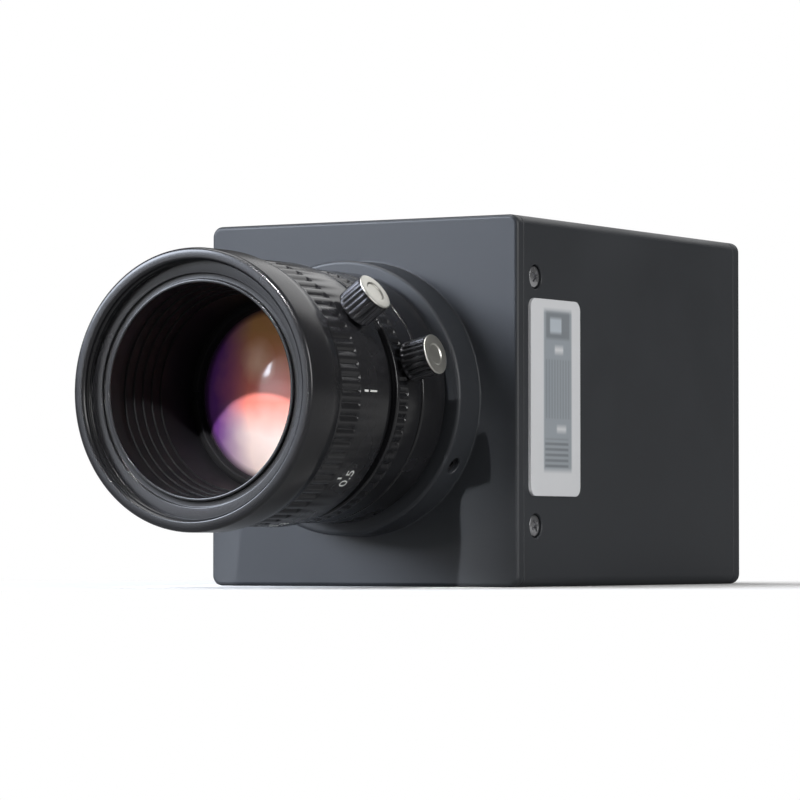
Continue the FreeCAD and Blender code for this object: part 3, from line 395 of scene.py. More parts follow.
def evaluated(piece, name):
    """Plain mesh of an object with its modifiers, and the object removed."""
    graph = bpy.context.evaluated_depsgraph_get()
    mesh = bpy.data.meshes.new_from_object(piece.evaluated_get(graph))
    mesh.name = name
    bpy.data.objects.remove(piece)
    return mesh


def combined(name, base, steps):
    """Base mesh after a row of (operation, mesh) booleans."""
    holder = linked(name, base)
    tools = []
    for operation, mesh in steps:
        tool = linked("tool", mesh)
        tools.append(tool)
        change = holder.modifiers.new(operation.lower(), "BOOLEAN")
        change.operation = operation
        change.solver = "EXACT"
        change.object = tool
    mesh = evaluated(holder, name)
    for tool in tools:
        bpy.data.objects.remove(tool)
    return mesh


def carved(name, base, added=(), removed=(), crease=35.0):
    """Base mesh with meshes fused to it and others cut from it."""
    steps = [("UNION", mesh) for mesh in added] + [("DIFFERENCE", mesh) for mesh in removed]
    bm = bmesh.new()
    bm.from_mesh(combined(name, base, steps))
    return mesh_of(bm, name, crease)


def weighted(mesh):
    """The mesh with normals that keep its flat faces flat beside their rounded edges."""
    holder = linked(mesh.name, mesh)
    change = holder.modifiers.new("weighted", "WEIGHTED_NORMAL")
    change.keep_sharp = True
    change.weight = 80
    return evaluated(holder, mesh.name)


def hole(radius, depth, origin, outward, edge=0.0, wide=0.0, wide_depth=0.0, segments=48):
    """Tool for a round hole sunk from a face, with a broken edge and perhaps a wider mouth."""
    over = 1.0 * MM
    if wide:
        points = [(0, -depth, 0), (radius, -depth, 0), (radius, -wide_depth, 0),
                  (wide, -wide_depth, 0), (wide, -edge, 0),
                  (wide + edge + over, over, 0), (0, over, 0)]
    else:
        points = [(0, -depth, 0), (radius, -depth, 0), (radius, -edge, 0),
                  (radius + edge + over, over, 0), (0, over, 0)]
    return turned("hole", points, segments, False, aimed(origin, outward))


# ---------------------------------------------------------------------------------------------
# Geometry Nodes
# ---------------------------------------------------------------------------------------------

def node_tree(name, inputs):
    """Empty geometry tree with its named inputs. Gives the tree and its input node."""
    tree = bpy.data.node_groups.new(name, "GeometryNodeTree")
    tree.interface.new_socket("Geometry", in_out="OUTPUT", socket_type="NodeSocketGeometry")
    tree.interface.new_socket("Geometry", in_out="INPUT", socket_type="NodeSocketGeometry")
    for label, kind in inputs:
        tree.interface.new_socket(label, in_out="INPUT", socket_type="NodeSocket" + kind)
    tree.interface.new_socket("Material", in_out="INPUT", socket_type="NodeSocketMaterial")
    return tree, tree.nodes.new("NodeGroupInput")


def close_tree(tree, source, geometry):
    """Ends a tree in Realize Instances and Set Material."""
    real = tree.nodes.new("GeometryNodeRealizeInstances")
    paint = tree.nodes.new("GeometryNodeSetMaterial")
    out = tree.nodes.new("NodeGroupOutput")
    tree.links.new(geometry, real.inputs[0])
    tree.links.new(real.outputs[0], paint.inputs["Geometry"])
    tree.links.new(source.outputs["Material"], paint.inputs["Material"])
    tree.links.new(paint.outputs[0], out.inputs[0])


def feed(tree, socket, value):
    """Gives an input a constant, or joins another socket to it."""
    if isinstance(value, bpy.types.NodeSocket):
        tree.links.new(value, socket)
    else:
        socket.default_value = value


def maths(tree, operation, *values):
    """Math node in any tree, its inputs numbers or sockets. Gives its output."""
    made = tree.nodes.new("ShaderNodeMath")
    made.operation = operation
    for socket, value in zip(made.inputs, values):
        feed(tree, socket, value)
    return made.outputs[0]


def product(tree, first, *others):
    """Several values multiplied in order."""
    for other in others:
        first = maths(tree, "MULTIPLY", first, other)
    return first


def vector_maths(tree, operation, *values):
    made = tree.nodes.new("ShaderNodeVectorMath")
    made.operation = operation
    for socket, value in zip(made.inputs, values):
        feed(tree, socket, value)
    return made.outputs["Value"] if operation in ("LENGTH", "DOT_PRODUCT") else made.outputs[0]


def split(tree, vector):
    """The x, y and z outputs of a vector."""
    parts = tree.nodes.new("ShaderNodeSeparateXYZ")
    tree.links.new(vector, parts.inputs[0])
    return parts.outputs


def across_axis(tree, parts):
    """Vector with only x and z, square to an axis along Y."""
    flat = tree.nodes.new("ShaderNodeCombineXYZ")
    tree.links.new(parts[0], flat.inputs[0])
    tree.links.new(parts[2], flat.inputs[2])
    return flat.outputs[0]


def radial_parts(tree, axis):
    """Position as (angle over a full turn, outward direction, distance from the axis, y)."""
    position = tree.nodes.new("GeometryNodeInputPosition").outputs[0]
    parts = split(tree, vector_maths(tree, "SUBTRACT", position, axis))
    flat = across_axis(tree, parts)
    angle = maths(tree, "ARCTAN2", parts[2], parts[0])
    return (maths(tree, "DIVIDE", angle, 2 * pi), vector_maths(tree, "NORMALIZE", flat),
            vector_maths(tree, "LENGTH", flat), parts[1])


def between(tree, value, low, high, fade):
    """Mask that is 1 between two values and fades to 0 at its ends."""
    rise = maths(tree, "DIVIDE", maths(tree, "SUBTRACT", value, low), fade)
    fall = maths(tree, "DIVIDE", maths(tree, "SUBTRACT", high, value), fade)
    lowest = maths(tree, "MINIMUM", rise, fall)
    limited = maths(tree, "MINIMUM", lowest, 1.0)
    return maths(tree, "MAXIMUM", limited, 0.0)


def close_pressed(tree, source, outward, depth):
    """Ends a tree that presses its incoming surface inwards by a depth."""
    scale = tree.nodes.new("ShaderNodeVectorMath")
    scale.operation = "SCALE"
    tree.links.new(outward, scale.inputs[0])
    tree.links.new(maths(tree, "MULTIPLY", depth, -1.0), scale.inputs["Scale"])
    change = tree.nodes.new("GeometryNodeSetPosition")
    tree.links.new(source.outputs["Geometry"], change.inputs["Geometry"])
    tree.links.new(scale.outputs[0], change.inputs["Offset"])
    close_tree(tree, source, change.outputs[0])


def knurl_tree():
    """Straight knurling: rounded ridges round a turned surface, between two depths y."""
    tree, source = node_tree("Grip band", [
        ("Count", "Int"), ("Depth", "Float"), ("Front", "Float"), ("Back", "Float"),
        ("Fade", "Float"), ("Inner radius", "Float")])
    given = source.outputs
    share, outward, distance, y = radial_parts(tree, (AXIS.x, 0.0, AXIS.z))
    wave = maths(tree, "SINE", product(tree, share, given["Count"], pi))
    groove = maths(tree, "SUBTRACT", 1.0, maths(tree, "ABSOLUTE", wave))
    mask = between(tree, y, given["Front"], given["Back"], given["Fade"])
    outside = maths(tree, "GREATER_THAN", distance, given["Inner radius"])
    close_pressed(tree, source, outward, product(tree, groove, given["Depth"], mask, outside))
    return tree


def thread_tree():
    """Helical thread on a dense tube round an axis along Y."""
    tree, source = node_tree("Thread", [
        ("Pitch", "Float"), ("Depth", "Float"), ("Front", "Float"), ("Back", "Float"),
        ("Least radius", "Float"), ("Most radius", "Float"), ("Axis", "Vector")])
    given = source.outputs
    share, outward, distance, y = radial_parts(tree, given["Axis"])
    along = maths(tree, "DIVIDE", y, given["Pitch"])
    wave = maths(tree, "PINGPONG", maths(tree, "ADD", along, share), 0.5)
    mask = between(tree, y, given["Front"], given["Back"], given["Pitch"])
    inside = maths(tree, "GREATER_THAN", distance, given["Least radius"])
    below = maths(tree, "LESS_THAN", distance, given["Most radius"])
    close_pressed(tree, source, outward,
                  product(tree, wave, 2.0, given["Depth"], mask, inside, below))
    return tree


def copies_tree():
    """Copies of one shape at points, each turned to its direction and spun at random."""
    tree, source = node_tree("Copies at points", [
        ("Shape", "Object"), ("Spin", "Float"), ("Seed", "Int")])
    shape = tree.nodes.new("GeometryNodeObjectInfo")
    tree.links.new(source.outputs["Shape"], shape.inputs["Object"])
    direction = tree.nodes.new("GeometryNodeInputNamedAttribute")
    direction.data_type = "FLOAT_VECTOR"
    direction.inputs["Name"].default_value = "direction"
    align = tree.nodes.new("FunctionNodeAlignRotationToVector")
    align.axis = "Z"
    tree.links.new(direction.outputs["Attribute"], align.inputs["Vector"])
    chance = tree.nodes.new("FunctionNodeRandomValue")
    chance.data_type = "FLOAT"
    tree.links.new(source.outputs["Spin"], chance.inputs[3])
    tree.links.new(source.outputs["Seed"], chance.inputs["Seed"])
    spin = tree.nodes.new("ShaderNodeCombineXYZ")
    tree.links.new(chance.outputs[1], spin.inputs[2])
    to_turn = tree.nodes.new("FunctionNodeEulerToRotation")
    tree.links.new(spin.outputs[0], to_turn.inputs[0])
    both = tree.nodes.new("FunctionNodeRotateRotation")
    both.rotation_space = "LOCAL"
    tree.links.new(align.outputs[0], both.inputs[0])
    tree.links.new(to_turn.outputs[0], both.inputs[1])
    to_points = tree.nodes.new("GeometryNodeMeshToPoints")
    tree.links.new(source.outputs["Geometry"], to_points.inputs["Mesh"])
    copies = tree.nodes.new("GeometryNodeInstanceOnPoints")
    tree.links.new(to_points.outputs[0], copies.inputs["Points"])
    tree.links.new(shape.outputs["Geometry"], copies.inputs["Instance"])
    tree.links.new(both.outputs[0], copies.inputs["Rotation"])
    close_tree(tree, source, copies.outputs[0])
    return tree


def tree_named(name, make):
    """A geometry tree, built once."""
    return bpy.data.node_groups.get(name) or make()


def grown(name, mesh, tree, values):
    """Mesh that a geometry tree makes from a mesh, with its inputs set by identifier."""
    holder = bpy.data.objects.new(name, mesh)
    change = holder.modifiers.new("nodes", "NODES")
    change.node_group = tree
    for item in tree.interface.items_tree:
        if item.in_out == "INPUT" and item.name in values:
            change[item.identifier] = values[item.name]
    bpy.context.collection.objects.link(holder)
    return evaluated(holder, name)


def copies(name, shape, places, material, spin=0.0, seed=1):
    """Mesh with a copy of a shape at each (point, direction)."""
    points = bpy.data.meshes.new(name)
    points.from_pydata([origin for origin, _ in places], [], [])
    aim = points.attributes.new("direction", "FLOAT_VECTOR", "POINT")
    for index, (_, direction) in enumerate(places):
        aim.data[index].vector = direction
    model = linked("model", shape)
    mesh = grown(name, points, tree_named("Copies at points", copies_tree),
                 {"Shape": model, "Spin": spin, "Seed": seed, "Material": material})
    bpy.data.objects.remove(model)
    return mesh


def knurled(name, mesh, front, back, inner, material, fade=0.25 * MM):
    """Turned mesh with a grip band between two stations."""
    lens = sizes("lens")
    return grown(name, mesh, tree_named("Grip band", knurl_tree), {
        "Count": lens.knurls, "Depth": lens.knurl_depth, "Front": FACE_Y - front,
        "Back": FACE_Y - back, "Fade": fade, "Inner radius": inner, "Material": material})


def threaded(name, mesh, pitch, depth, front, back, least, most, axis, material):
    """Turned mesh with a helical thread between two depths y."""
    return grown(name, mesh, tree_named("Thread", thread_tree), {
        "Pitch": pitch, "Depth": depth, "Front": front, "Back": back, "Least radius": least,
        "Most radius": most, "Axis": axis, "Material": material})


# ---------------------------------------------------------------------------------------------
# Finishes
# ---------------------------------------------------------------------------------------------

def shader_group(name, inputs, outputs):
    """Empty shader group with its sockets. Gives the group, its input and its output node."""
    group = bpy.data.node_groups.new(name, "ShaderNodeTree")
    for label, kind, value in inputs:
        socket = group.interface.new_socket(label, in_out="INPUT",
                                            socket_type="NodeSocket" + kind)
        if value is not None:
            socket.default_value = value
    for label, kind in outputs:
        group.interface.new_socket(label, in_out="OUTPUT", socket_type="NodeSocket" + kind)
    return group, group.nodes.new("NodeGroupInput"), group.nodes.new("NodeGroupOutput")


def ramp(tree, value, low, high):
    """0 below a value and 1 above another."""
    made = tree.nodes.new("ShaderNodeMapRange")
    made.inputs["From Min"].default_value = low
    made.inputs["From Max"].default_value = high
    tree.links.new(value, made.inputs["Value"])
    return made.outputs["Result"]


def noise(tree, vector, scale, detail=2.0, rough=0.5):
    made = tree.nodes.new("ShaderNodeTexNoise")
    made.inputs["Detail"].default_value = detail
    made.inputs["Roughness"].default_value = rough
    feed(tree, made.inputs["Scale"], scale)
    tree.links.new(vector, made.inputs["Vector"])
    return made.outputs["Fac"]


def grain_group():
    """Fine surface grain and slow cloudiness, from Object coordinates."""
    group, source, out = shader_group(
        "Surface grain", [("Vector", "Vector", None), ("Grain", "Float", 9000.0),
                          ("Cloud", "Float", 90.0)],
        [("Grain", "Float"), ("Cloud", "Float")])
    fine = noise(group, source.outputs["Vector"], source.outputs["Grain"], 3.0, 0.6)
    slow = noise(group, source.outputs["Vector"], source.outputs["Cloud"], 3.0, 0.55)
    group.links.new(fine, out.inputs["Grain"])
    group.links.new(slow, out.inputs["Cloud"])
    return group


def wear_group():
    """Mask of worn edges: where a rounded normal leaves the true one, broken up by noise."""
    group, source, out = shader_group(
        "Edge wear", [("Vector", "Vector", None), ("Width", "Float", 0.0003),
                      ("Amount", "Float", 0.5)], [("Mask", "Float")])
    soft = group.nodes.new("ShaderNodeBevel")
    soft.samples = 4
    group.links.new(source.outputs["Width"], soft.inputs["Radius"])
    true = group.nodes.new("ShaderNodeNewGeometry")
    same = vector_maths(group, "DOT_PRODUCT", soft.outputs[0], true.outputs["Normal"])
    away = ramp(group, maths(group, "SUBTRACT", 1.0, same), 0.02, 0.16)
    patch = ramp(group, noise(group, source.outputs["Vector"], 900.0, 4.0, 0.65), 0.42, 0.62)
    mask = maths(group, "MULTIPLY", maths(group, "MULTIPLY", away, patch),
                 source.outputs["Amount"])
    group.links.new(mask, out.inputs["Mask"])
    return group


def turning_group():
    """Fine lines that a lathe leaves round the lens axis."""
    group, source, out = shader_group(
        "Turning lines", [("Vector", "Vector", None), ("Pitch", "Float", 9000.0)],
        [("Lines", "Float")])
    local = vector_maths(group, "SUBTRACT", source.outputs["Vector"], (AXIS.x, 0.0, AXIS.z))
    parts = split(group, local)
    distance = vector_maths(group, "LENGTH", across_axis(group, parts))
    place_on = group.nodes.new("ShaderNodeCombineXYZ")
    group.links.new(distance, place_on.inputs[0])
    group.links.new(parts[1], place_on.inputs[1])
    lines = noise(group, place_on.outputs[0], source.outputs["Pitch"], 2.0, 0.5)
    group.links.new(lines, out.inputs["Lines"])
    return group


def field_group():
    """Mask of a rectangle in a plate's own (across, up) coordinates, with a soft edge."""
    group, source, out = shader_group(
        "Print field", [("Across", "Float", 0.0), ("Up", "Float", 0.0),
                        ("Left", "Float", 0.0), ("Right", "Float", 1.0),
                        ("Bottom", "Float", 0.0), ("Top", "Float", 1.0),
                        ("Soft", "Float", 0.01)], [("Mask", "Float")])
    across = between(group, source.outputs["Across"], source.outputs["Left"],
                     source.outputs["Right"], source.outputs["Soft"])
    up = between(group, source.outputs["Up"], source.outputs["Bottom"], source.outputs["Top"],
                 source.outputs["Soft"])
    group.links.new(maths(group, "MULTIPLY", across, up), out.inputs["Mask"])
    return group


def use_group(tree, name, make, values):
    """Places a shared group in a material with its own values. Gives its node."""
    made = tree.nodes.new("ShaderNodeGroup")
    made.node_tree = bpy.data.node_groups.get(name) or make()
    for label, value in values.items():
        feed(tree, made.inputs[label], value)
    return made


def mixed(tree, factor, first, second):
    """Colour between two colours or colour sockets."""
    made = tree.nodes.new("ShaderNodeMix")
    made.data_type = "RGBA"
    feed(tree, made.inputs[0], factor)
    for socket, value in ((made.inputs[6], first), (made.inputs[7], second)):
        feed(tree, socket, value + (1.0,) if isinstance(value, tuple) else value)
    return made.outputs[2]


def shade(value, factor):
    return tuple(min(part * factor, 1.0) for part in value)


def blank(name):
    """New material with only a Principled shader. Gives material, tree, shader, coordinates."""
    material = bpy.data.materials.new("camera " + name)
    material.use_nodes = True
    tree = material.node_tree
    shader = tree.nodes["Principled BSDF"]
    vector = tree.nodes.new("ShaderNodeTexCoord").outputs["Object"]
    return material, tree, shader, vector


def bumped(tree, shader, height, distance, strength=1.0):
    bump = tree.nodes.new("ShaderNodeBump")
    bump.inputs["Strength"].default_value = strength
    bump.inputs["Distance"].default_value = distance
    tree.links.new(height, bump.inputs["Height"])
    tree.links.new(bump.outputs[0], shader.inputs["Normal"])


def finish(name, base, rough=0.45, spread=0.08, metallic=0.0, grain=9000.0, cloud=90.0,
           contrast=0.12, bump=0.000004, wear=0.0, worn=(0.3, 0.3, 0.3), width=0.0003,
           lines=0.0, line_pitch=9000.0, specular=0.5, coat=0.0):
    """Material with grain, cloudiness, turning lines and worn edges."""
    base = tuple(base)
    material, tree, shader, vector = blank(name)
    texture = use_group(tree, "Surface grain", grain_group,
                        {"Vector": vector, "Grain": grain, "Cloud": cloud})
    tone = ramp(tree, texture.outputs["Cloud"], 0.3, 0.7)
    base_colour = mixed(tree, tone, shade(base, 1 - contrast), shade(base, 1 + contrast))
    fine = ramp(tree, texture.outputs["Grain"], 0.3, 0.7)
    base_colour = mixed(tree, maths(tree, "MULTIPLY", fine, contrast), base_colour,
                        shade(base, 1.6))
    height = texture.outputs["Grain"]
    if lines:
        made = use_group(tree, "Turning lines", turning_group,
                         {"Vector": vector, "Pitch": line_pitch})
        height = maths(tree, "ADD", maths(tree, "MULTIPLY", height, 1 - lines),
                       maths(tree, "MULTIPLY", made.outputs["Lines"], lines))
    roughness = maths(tree, "ADD", maths(tree, "MULTIPLY", tone, spread), rough - spread / 2)
    if wear:
        edge = use_group(tree, "Edge wear", wear_group,
                         {"Vector": vector, "Width": width, "Amount": wear})
        base_colour = mixed(tree, edge.outputs["Mask"], base_colour, worn)
    tree.links.new(base_colour, shader.inputs["Base Color"])
    tree.links.new(roughness, shader.inputs["Roughness"])
    shader.inputs["Metallic"].default_value = metallic
    shader.inputs["Specular IOR Level"].default_value = specular
    shader.inputs["Coat Weight"].default_value = coat
    bumped(tree, shader, height, bump)
    return material


def plate_print(tree, vector, white, grey):
    """Colours of the side plate: a white border and grey printed fields."""
    low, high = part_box("side_plate")
    parts = split(tree, vector)
    across = ramp(tree, parts[1], low[1], high[1])
    up = ramp(tree, parts[2], low[2], high[2])
    light = shade(grey, 1.9)
    hatch = maths(tree, "PINGPONG", across, 0.028)
    hatch = ramp(tree, hatch, 0.008, 0.020)
    rows = maths(tree, "PINGPONG", up, 0.014)
    rows = ramp(tree, rows, 0.004, 0.010)
    fields = [  # left, right, bottom, top, soft, colour, broken up by
        (0.24, 0.83, 0.115, 0.960, 0.03, light, None),
        (0.29, 0.78, 0.790, 0.945, 0.02, shade(grey, 1.25), None),
        (0.37, 0.62, 0.820, 0.915, 0.02, shade(grey, 2.9), None),
        (0.46, 0.66, 0.715, 0.775, 0.03, white, None),
        (0.27, 0.81, 0.390, 0.700, 0.01, shade(grey, 1.5), hatch),
        (0.27, 0.76, 0.130, 0.300, 0.02, shade(grey, 1.15), rows),
        (0.50, 0.72, 0.315, 0.370, 0.03, white, None),
    ]
    colour_now = white
    for left, right, bottom, top, soft, tint, broken in fields:
        field = use_group(tree, "Print field", field_group, {
            "Across": across, "Up": up, "Left": left, "Right": right, "Bottom": bottom,
            "Top": top, "Soft": soft})
        mask = field.outputs["Mask"]
        if broken is not None:
            mask = maths(tree, "MULTIPLY", mask, broken)
        colour_now = mixed(tree, mask, colour_now, tint)
    return colour_now


def plate_finish(name):
    """Satin film with grey print fields."""
    paint = sizes("finishes")
    material, tree, shader, vector = blank(name)
    printed = plate_print(tree, vector, tuple(paint.plate), tuple(paint.print_grey))
    texture = use_group(tree, "Surface grain", grain_group,
                        {"Vector": vector, "Grain": 5000.0, "Cloud": 160.0})
    dull = ramp(tree, texture.outputs["Cloud"], 0.35, 0.75)
    printed = mixed(tree, maths(tree, "MULTIPLY", dull, 0.10), printed, (0.45, 0.46, 0.46))
    tree.links.new(printed, shader.inputs["Base Color"])
    tree.links.new(maths(tree, "ADD", maths(tree, "MULTIPLY", dull, 0.15), 0.32),
                   shader.inputs["Roughness"])
    bumped(tree, shader, texture.outputs["Grain"], 0.000003)
    return material


def glass_finish(name, tint, film=0.0):
    """Polished glass with an antireflection coating."""
    material, tree, shader, vector = blank(name)
    texture = use_group(tree, "Surface grain", grain_group,
                        {"Vector": vector, "Grain": 2500.0, "Cloud": 120.0})
    haze = ramp(tree, texture.outputs["Cloud"], 0.45, 0.8)
    tree.links.new(mixed(tree, haze, tint, shade(tint, 0.94)), shader.inputs["Base Color"])
    tree.links.new(maths(tree, "MULTIPLY", haze, 0.02), shader.inputs["Roughness"])
    bumped(tree, shader, texture.outputs["Grain"], 0.0000002)
    shader.inputs["Transmission Weight"].default_value = 1.0
    shader.inputs["IOR"].default_value = 1.52
    shader.inputs["Thin Film Thickness"].default_value = film
    shader.inputs["Thin Film IOR"].default_value = 1.38
    return material


def painted_reflection_finish(name):
    """Polished element with painted reflections: brown above, salmon in the middle, rose below, purple
    aside, and a painted pale orange highlight.
    """
    paint = sizes("finishes")
    material, tree, shader, vector = blank(name)
    parts = split(tree, vector_maths(tree, "SUBTRACT", vector, tuple(AXIS)))
    texture = use_group(tree, "Surface grain", grain_group,
                        {"Vector": vector, "Grain": 3000.0, "Cloud": 110.0})
    wander = maths(tree, "MULTIPLY", maths(tree, "SUBTRACT", texture.outputs["Cloud"], 0.5),
                   0.005)
    across = maths(tree, "ADD", parts[0], wander)
    up = maths(tree, "ADD", parts[2], wander)
    # Painted reflection: brown above, salmon in the middle and rose below, laid by height
    base = mixed(tree, ramp(tree, up, 0.5 * MM, 7.5 * MM), tuple(paint.painted_reflection_middle),
                 tuple(paint.painted_reflection_top))
    base = mixed(tree, ramp(tree, up, -1.0 * MM, -5.0 * MM), base, tuple(paint.painted_reflection_low))
    # Painted highlight: a pale orange spot up and towards -X from the middle
    highlight_offset_x = maths(tree, "ADD", across, 1.8 * MM)
    highlight_offset_z = maths(tree, "SUBTRACT", up, 3.6 * MM)
    away = maths(tree, "SQRT", maths(tree, "ADD", maths(tree, "MULTIPLY", highlight_offset_x, highlight_offset_x),
                                     maths(tree, "MULTIPLY", highlight_offset_z, highlight_offset_z)))
    base = mixed(tree, maths(tree, "MULTIPLY", ramp(tree, away, 3.2 * MM, 0.3 * MM), 0.8), base,
                 tuple(paint.painted_highlight_glow))
    # Painted reflection: purple towards the -X side
    base = mixed(tree, ramp(tree, across, -3.0 * MM, -8.0 * MM), base, tuple(paint.painted_reflection_side))
    # Darker towards the element's edge
    distance = vector_maths(tree, "LENGTH", across_axis(tree, parts))
    rim = ramp(tree, distance, 9.3 * MM, 10.4 * MM)
    base = mixed(tree, rim, base, (0.03, 0.02, 0.03))
    tree.links.new(base, shader.inputs["Base Color"])
    rough = maths(tree, "ADD", maths(tree, "MULTIPLY", texture.outputs["Cloud"], 0.08), 0.22)
    tree.links.new(rough, shader.inputs["Roughness"])
    bumped(tree, shader, texture.outputs["Grain"], 0.0000002)
    shader.inputs["Coat Weight"].default_value = 1.0
    shader.inputs["Coat Roughness"].default_value = 0.07
    return material


def all_finishes():
    """Every material, by the record's slot name and a few more."""
    paint = sizes("finishes")
    plain = {
        "body_black": dict(base=paint.body, rough=0.46, spread=0.10, grain=14000.0, cloud=60.0,
                           contrast=0.10, bump=6e-6, wear=0.4, worn=(0.16, 0.16, 0.17),
                           width=0.00020),
        "lens_black": dict(base=paint.lens, rough=0.25, cloud=120.0, contrast=0.15, bump=1.5e-6,
                           wear=0.4, worn=(0.14, 0.14, 0.14), width=0.00015, lines=0.7,
                           line_pitch=14000.0),
        "flat_black": dict(base=paint.hood, rough=0.60, spread=0.10, grain=7000.0, cloud=150.0,
                           contrast=0.2, bump=6e-6, lines=0.4, specular=0.2),
        "bright_steel": dict(base=paint.steel, rough=0.28, spread=0.12, metallic=1.0, grain=7000.0,
                             cloud=400.0, contrast=0.10, bump=2e-6, wear=0.4,
                             worn=(0.85, 0.85, 0.86)),
        "satin_steel": dict(base=paint.satin_steel, rough=0.36, spread=0.10, metallic=1.0,
                            grain=7000.0, cloud=300.0, contrast=0.08, bump=2e-6, wear=0.4,
                            worn=(0.85, 0.85, 0.84)),
        "dark_steel": dict(base=paint.dark_steel, rough=0.34, spread=0.12, metallic=0.9,
                           grain=7000.0, cloud=300.0, contrast=0.2, bump=3e-6, wear=0.7,
                           worn=(0.4, 0.4, 0.41)),
        "rubber_black": dict(base=(0.03, 0.03, 0.03), rough=0.8, spread=0.1, grain=5000.0,
                             cloud=200.0, contrast=0.2, bump=0.00001, specular=0.3),
        "board_green": dict(base=paint.board, rough=0.35, spread=0.1, grain=2500.0, cloud=300.0,
                            contrast=0.25, bump=6e-6),
        "chip_black": dict(base=(0.03, 0.03, 0.034), rough=0.55, spread=0.1, cloud=300.0,
                           contrast=0.2, bump=6e-6),
        "ceramic_grey": dict(base=(0.35, 0.33, 0.3), rough=0.6, spread=0.1, grain=6000.0,
                             cloud=300.0, contrast=0.1, bump=5e-6),
        "brass_bright": dict(base=paint.brass, rough=0.25, spread=0.12, metallic=1.0, grain=7000.0,
                             cloud=300.0, contrast=0.1, bump=2e-6),
        "nickel": dict(base=paint.nickel, rough=0.30, spread=0.14, metallic=1.0, grain=7000.0,
                       cloud=250.0, bump=2e-6, wear=0.5, worn=(0.8, 0.79, 0.77), width=0.0002),
        "insert_black": dict(base=(0.02, 0.02, 0.021), spread=0.1, grain=5000.0, cloud=200.0,
                             contrast=0.15),
        "engraving": dict(base=paint.mark, rough=0.5, spread=0.1, grain=6000.0, cloud=500.0,
                          contrast=0.06, bump=2e-6),
    }
    made = {name: finish(name, **values) for name, values in plain.items()}
    made.update({
        "plate_white": plate_finish("plate_white"),
        "coated_glass": glass_finish("coated_glass", (0.97, 0.95, 0.97), 320.0),
        "clear_glass": glass_finish("clear_glass", (0.95, 0.98, 0.97)),
        "light_pipe": glass_finish("light_pipe", (0.88, 0.95, 0.92)),
        # inner_coating carries painted reflections and a painted highlight
        "inner_coating": painted_reflection_finish("inner_coating"),
    })
    return made


def material(name):
    return bpy.data.materials["camera " + name]


# ---------------------------------------------------------------------------------------------
# Operators, one for each piece or group of like pieces
# ---------------------------------------------------------------------------------------------

class PieceOperator:
    """What the operators share."""
    bl_options = {"REGISTER", "UNDO"}

    def execute(self, context):
        self.make()
        return {"FINISHED"}


class CAMERA_OT_finishes(PieceOperator, bpy.types.Operator):
    """Make the finishes and give them to the inner pieces that keep their CAD shape"""
    bl_idname = "vision_camera.finishes"
    bl_label = "Finishes"

    def make(self):
        finishes = all_finishes()
        for part in frame["record"]["subparts"]:
            node = frame["nodes"][part["node"]]
            node.data.materials.clear()
            node.data.materials.append(finishes[part["material_slot"]])


class CAMERA_OT_front_block(PieceOperator, bpy.types.Operator):
    """Make the front plate with its round lens boss"""
    bl_idname = "vision_camera.front_block"
    bl_label = "Front plate and boss"

    def make(self):
        body = sizes("body")
        mouth = front_of("front_block")
        back = back_of("front_block")
        plate = body_slab("front_block", -FRONT_FLANGE, 0.0, body.joint_edge, body.face_edge)
        radius = radius_of("mount_ring")
        outer = radius + 2.2 * MM
        boss = turned("boss", [(0, -0.5 * MM), (outer + body.boss_root, -0.5 * MM),
                               (outer + body.boss_root, 0.0), (outer, 0.0, body.boss_root),
                               (outer, mouth, body.boss_edge), (0, mouth)], closed=False)
        spigot = prism("spigot", cavity_outline(0.03 * MM, body.channel), back,
                       -FRONT_FLANGE + 0.2 * MM)
        ring_back = back_of("mount_ring")
        window = radius_of("sensor_window")
        bore = turned("bore", [(0, back - MM), (9.0 * MM, back - MM),
                               (9.0 * MM, ring_back - 1.6 * MM),
                               (window, ring_back - 1.6 * MM), (window, ring_back),
                               (radius, ring_back), (radius, mouth - 0.2 * MM),
                               (radius + 0.2 * MM, mouth), (radius + 0.2 * MM, mouth + MM),
                               (0, mouth + MM)], closed=False)
        grubs = [hole(1.05 * MM, 3.2 * MM, polar(outer, angle, mouth - 2.5 * MM),
                      polar(1, angle, 0) - polar(0, angle, 0), 0.1 * MM, segments=32)
                 for angle in (90, 210, 330)]
        mesh = carved("front_block", plate, [boss, spigot], [bore] + grubs)
        piece = place(weighted(mesh), "front_plate", "camera", material("body_black"))
        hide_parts("front_block")


class CAMERA_OT_housing(PieceOperator, bpy.types.Operator):
    """Make the extruded housing with its screw holes"""
    bl_idname = "vision_camera.housing"
    bl_label = "Housing"

    def make(self):
        body = sizes("body")
        back, front = back_of("housing"), front_of("housing")
        shell = body_slab("housing", back, front, body.joint_edge, body.joint_edge)
        space = prism("space", cavity_outline(0.0, body.channel), back - MM, front + MM)
        tools = [space]
        for origin, outward in side_screw_places():
            tools.append(hole(0.85 * MM, 3.0 * MM, origin, outward, 0.1 * MM, 1.5 * MM, 1.0 * MM))
        for x in (-15.0 * MM, 15.0 * MM):
            for y in (-10.0 * MM, 10.0 * MM):
                tools.append(hole(1.25 * MM, 3.2 * MM, Vector((x, y, 0)), (0, 0, -1), 0.25 * MM))
        insert = radius_of("tripod_insert")
        tools.append(hole(insert + 0.03 * MM, 6.0 * MM, Vector((0, 0, 0)), (0, 0, -1), 0.2 * MM,
                          segments=96))
        mesh = carved("housing", shell, [], tools)
        piece = place(weighted(mesh), "housing_shell", "camera", material("body_black"))
        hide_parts("housing")


def side_screw_places():
    """(mouth on the side wall, outward direction) of each side screw."""
    body = sizes("body")
    low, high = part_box("housing")
    y = FACE_Y + body.side_setback
    return [(Vector((side * high[0], y, z)), Vector((side, 0, 0))) for side in (-1, 1)
            for z in (low[2] + body.side_inset, high[2] - body.side_inset)]


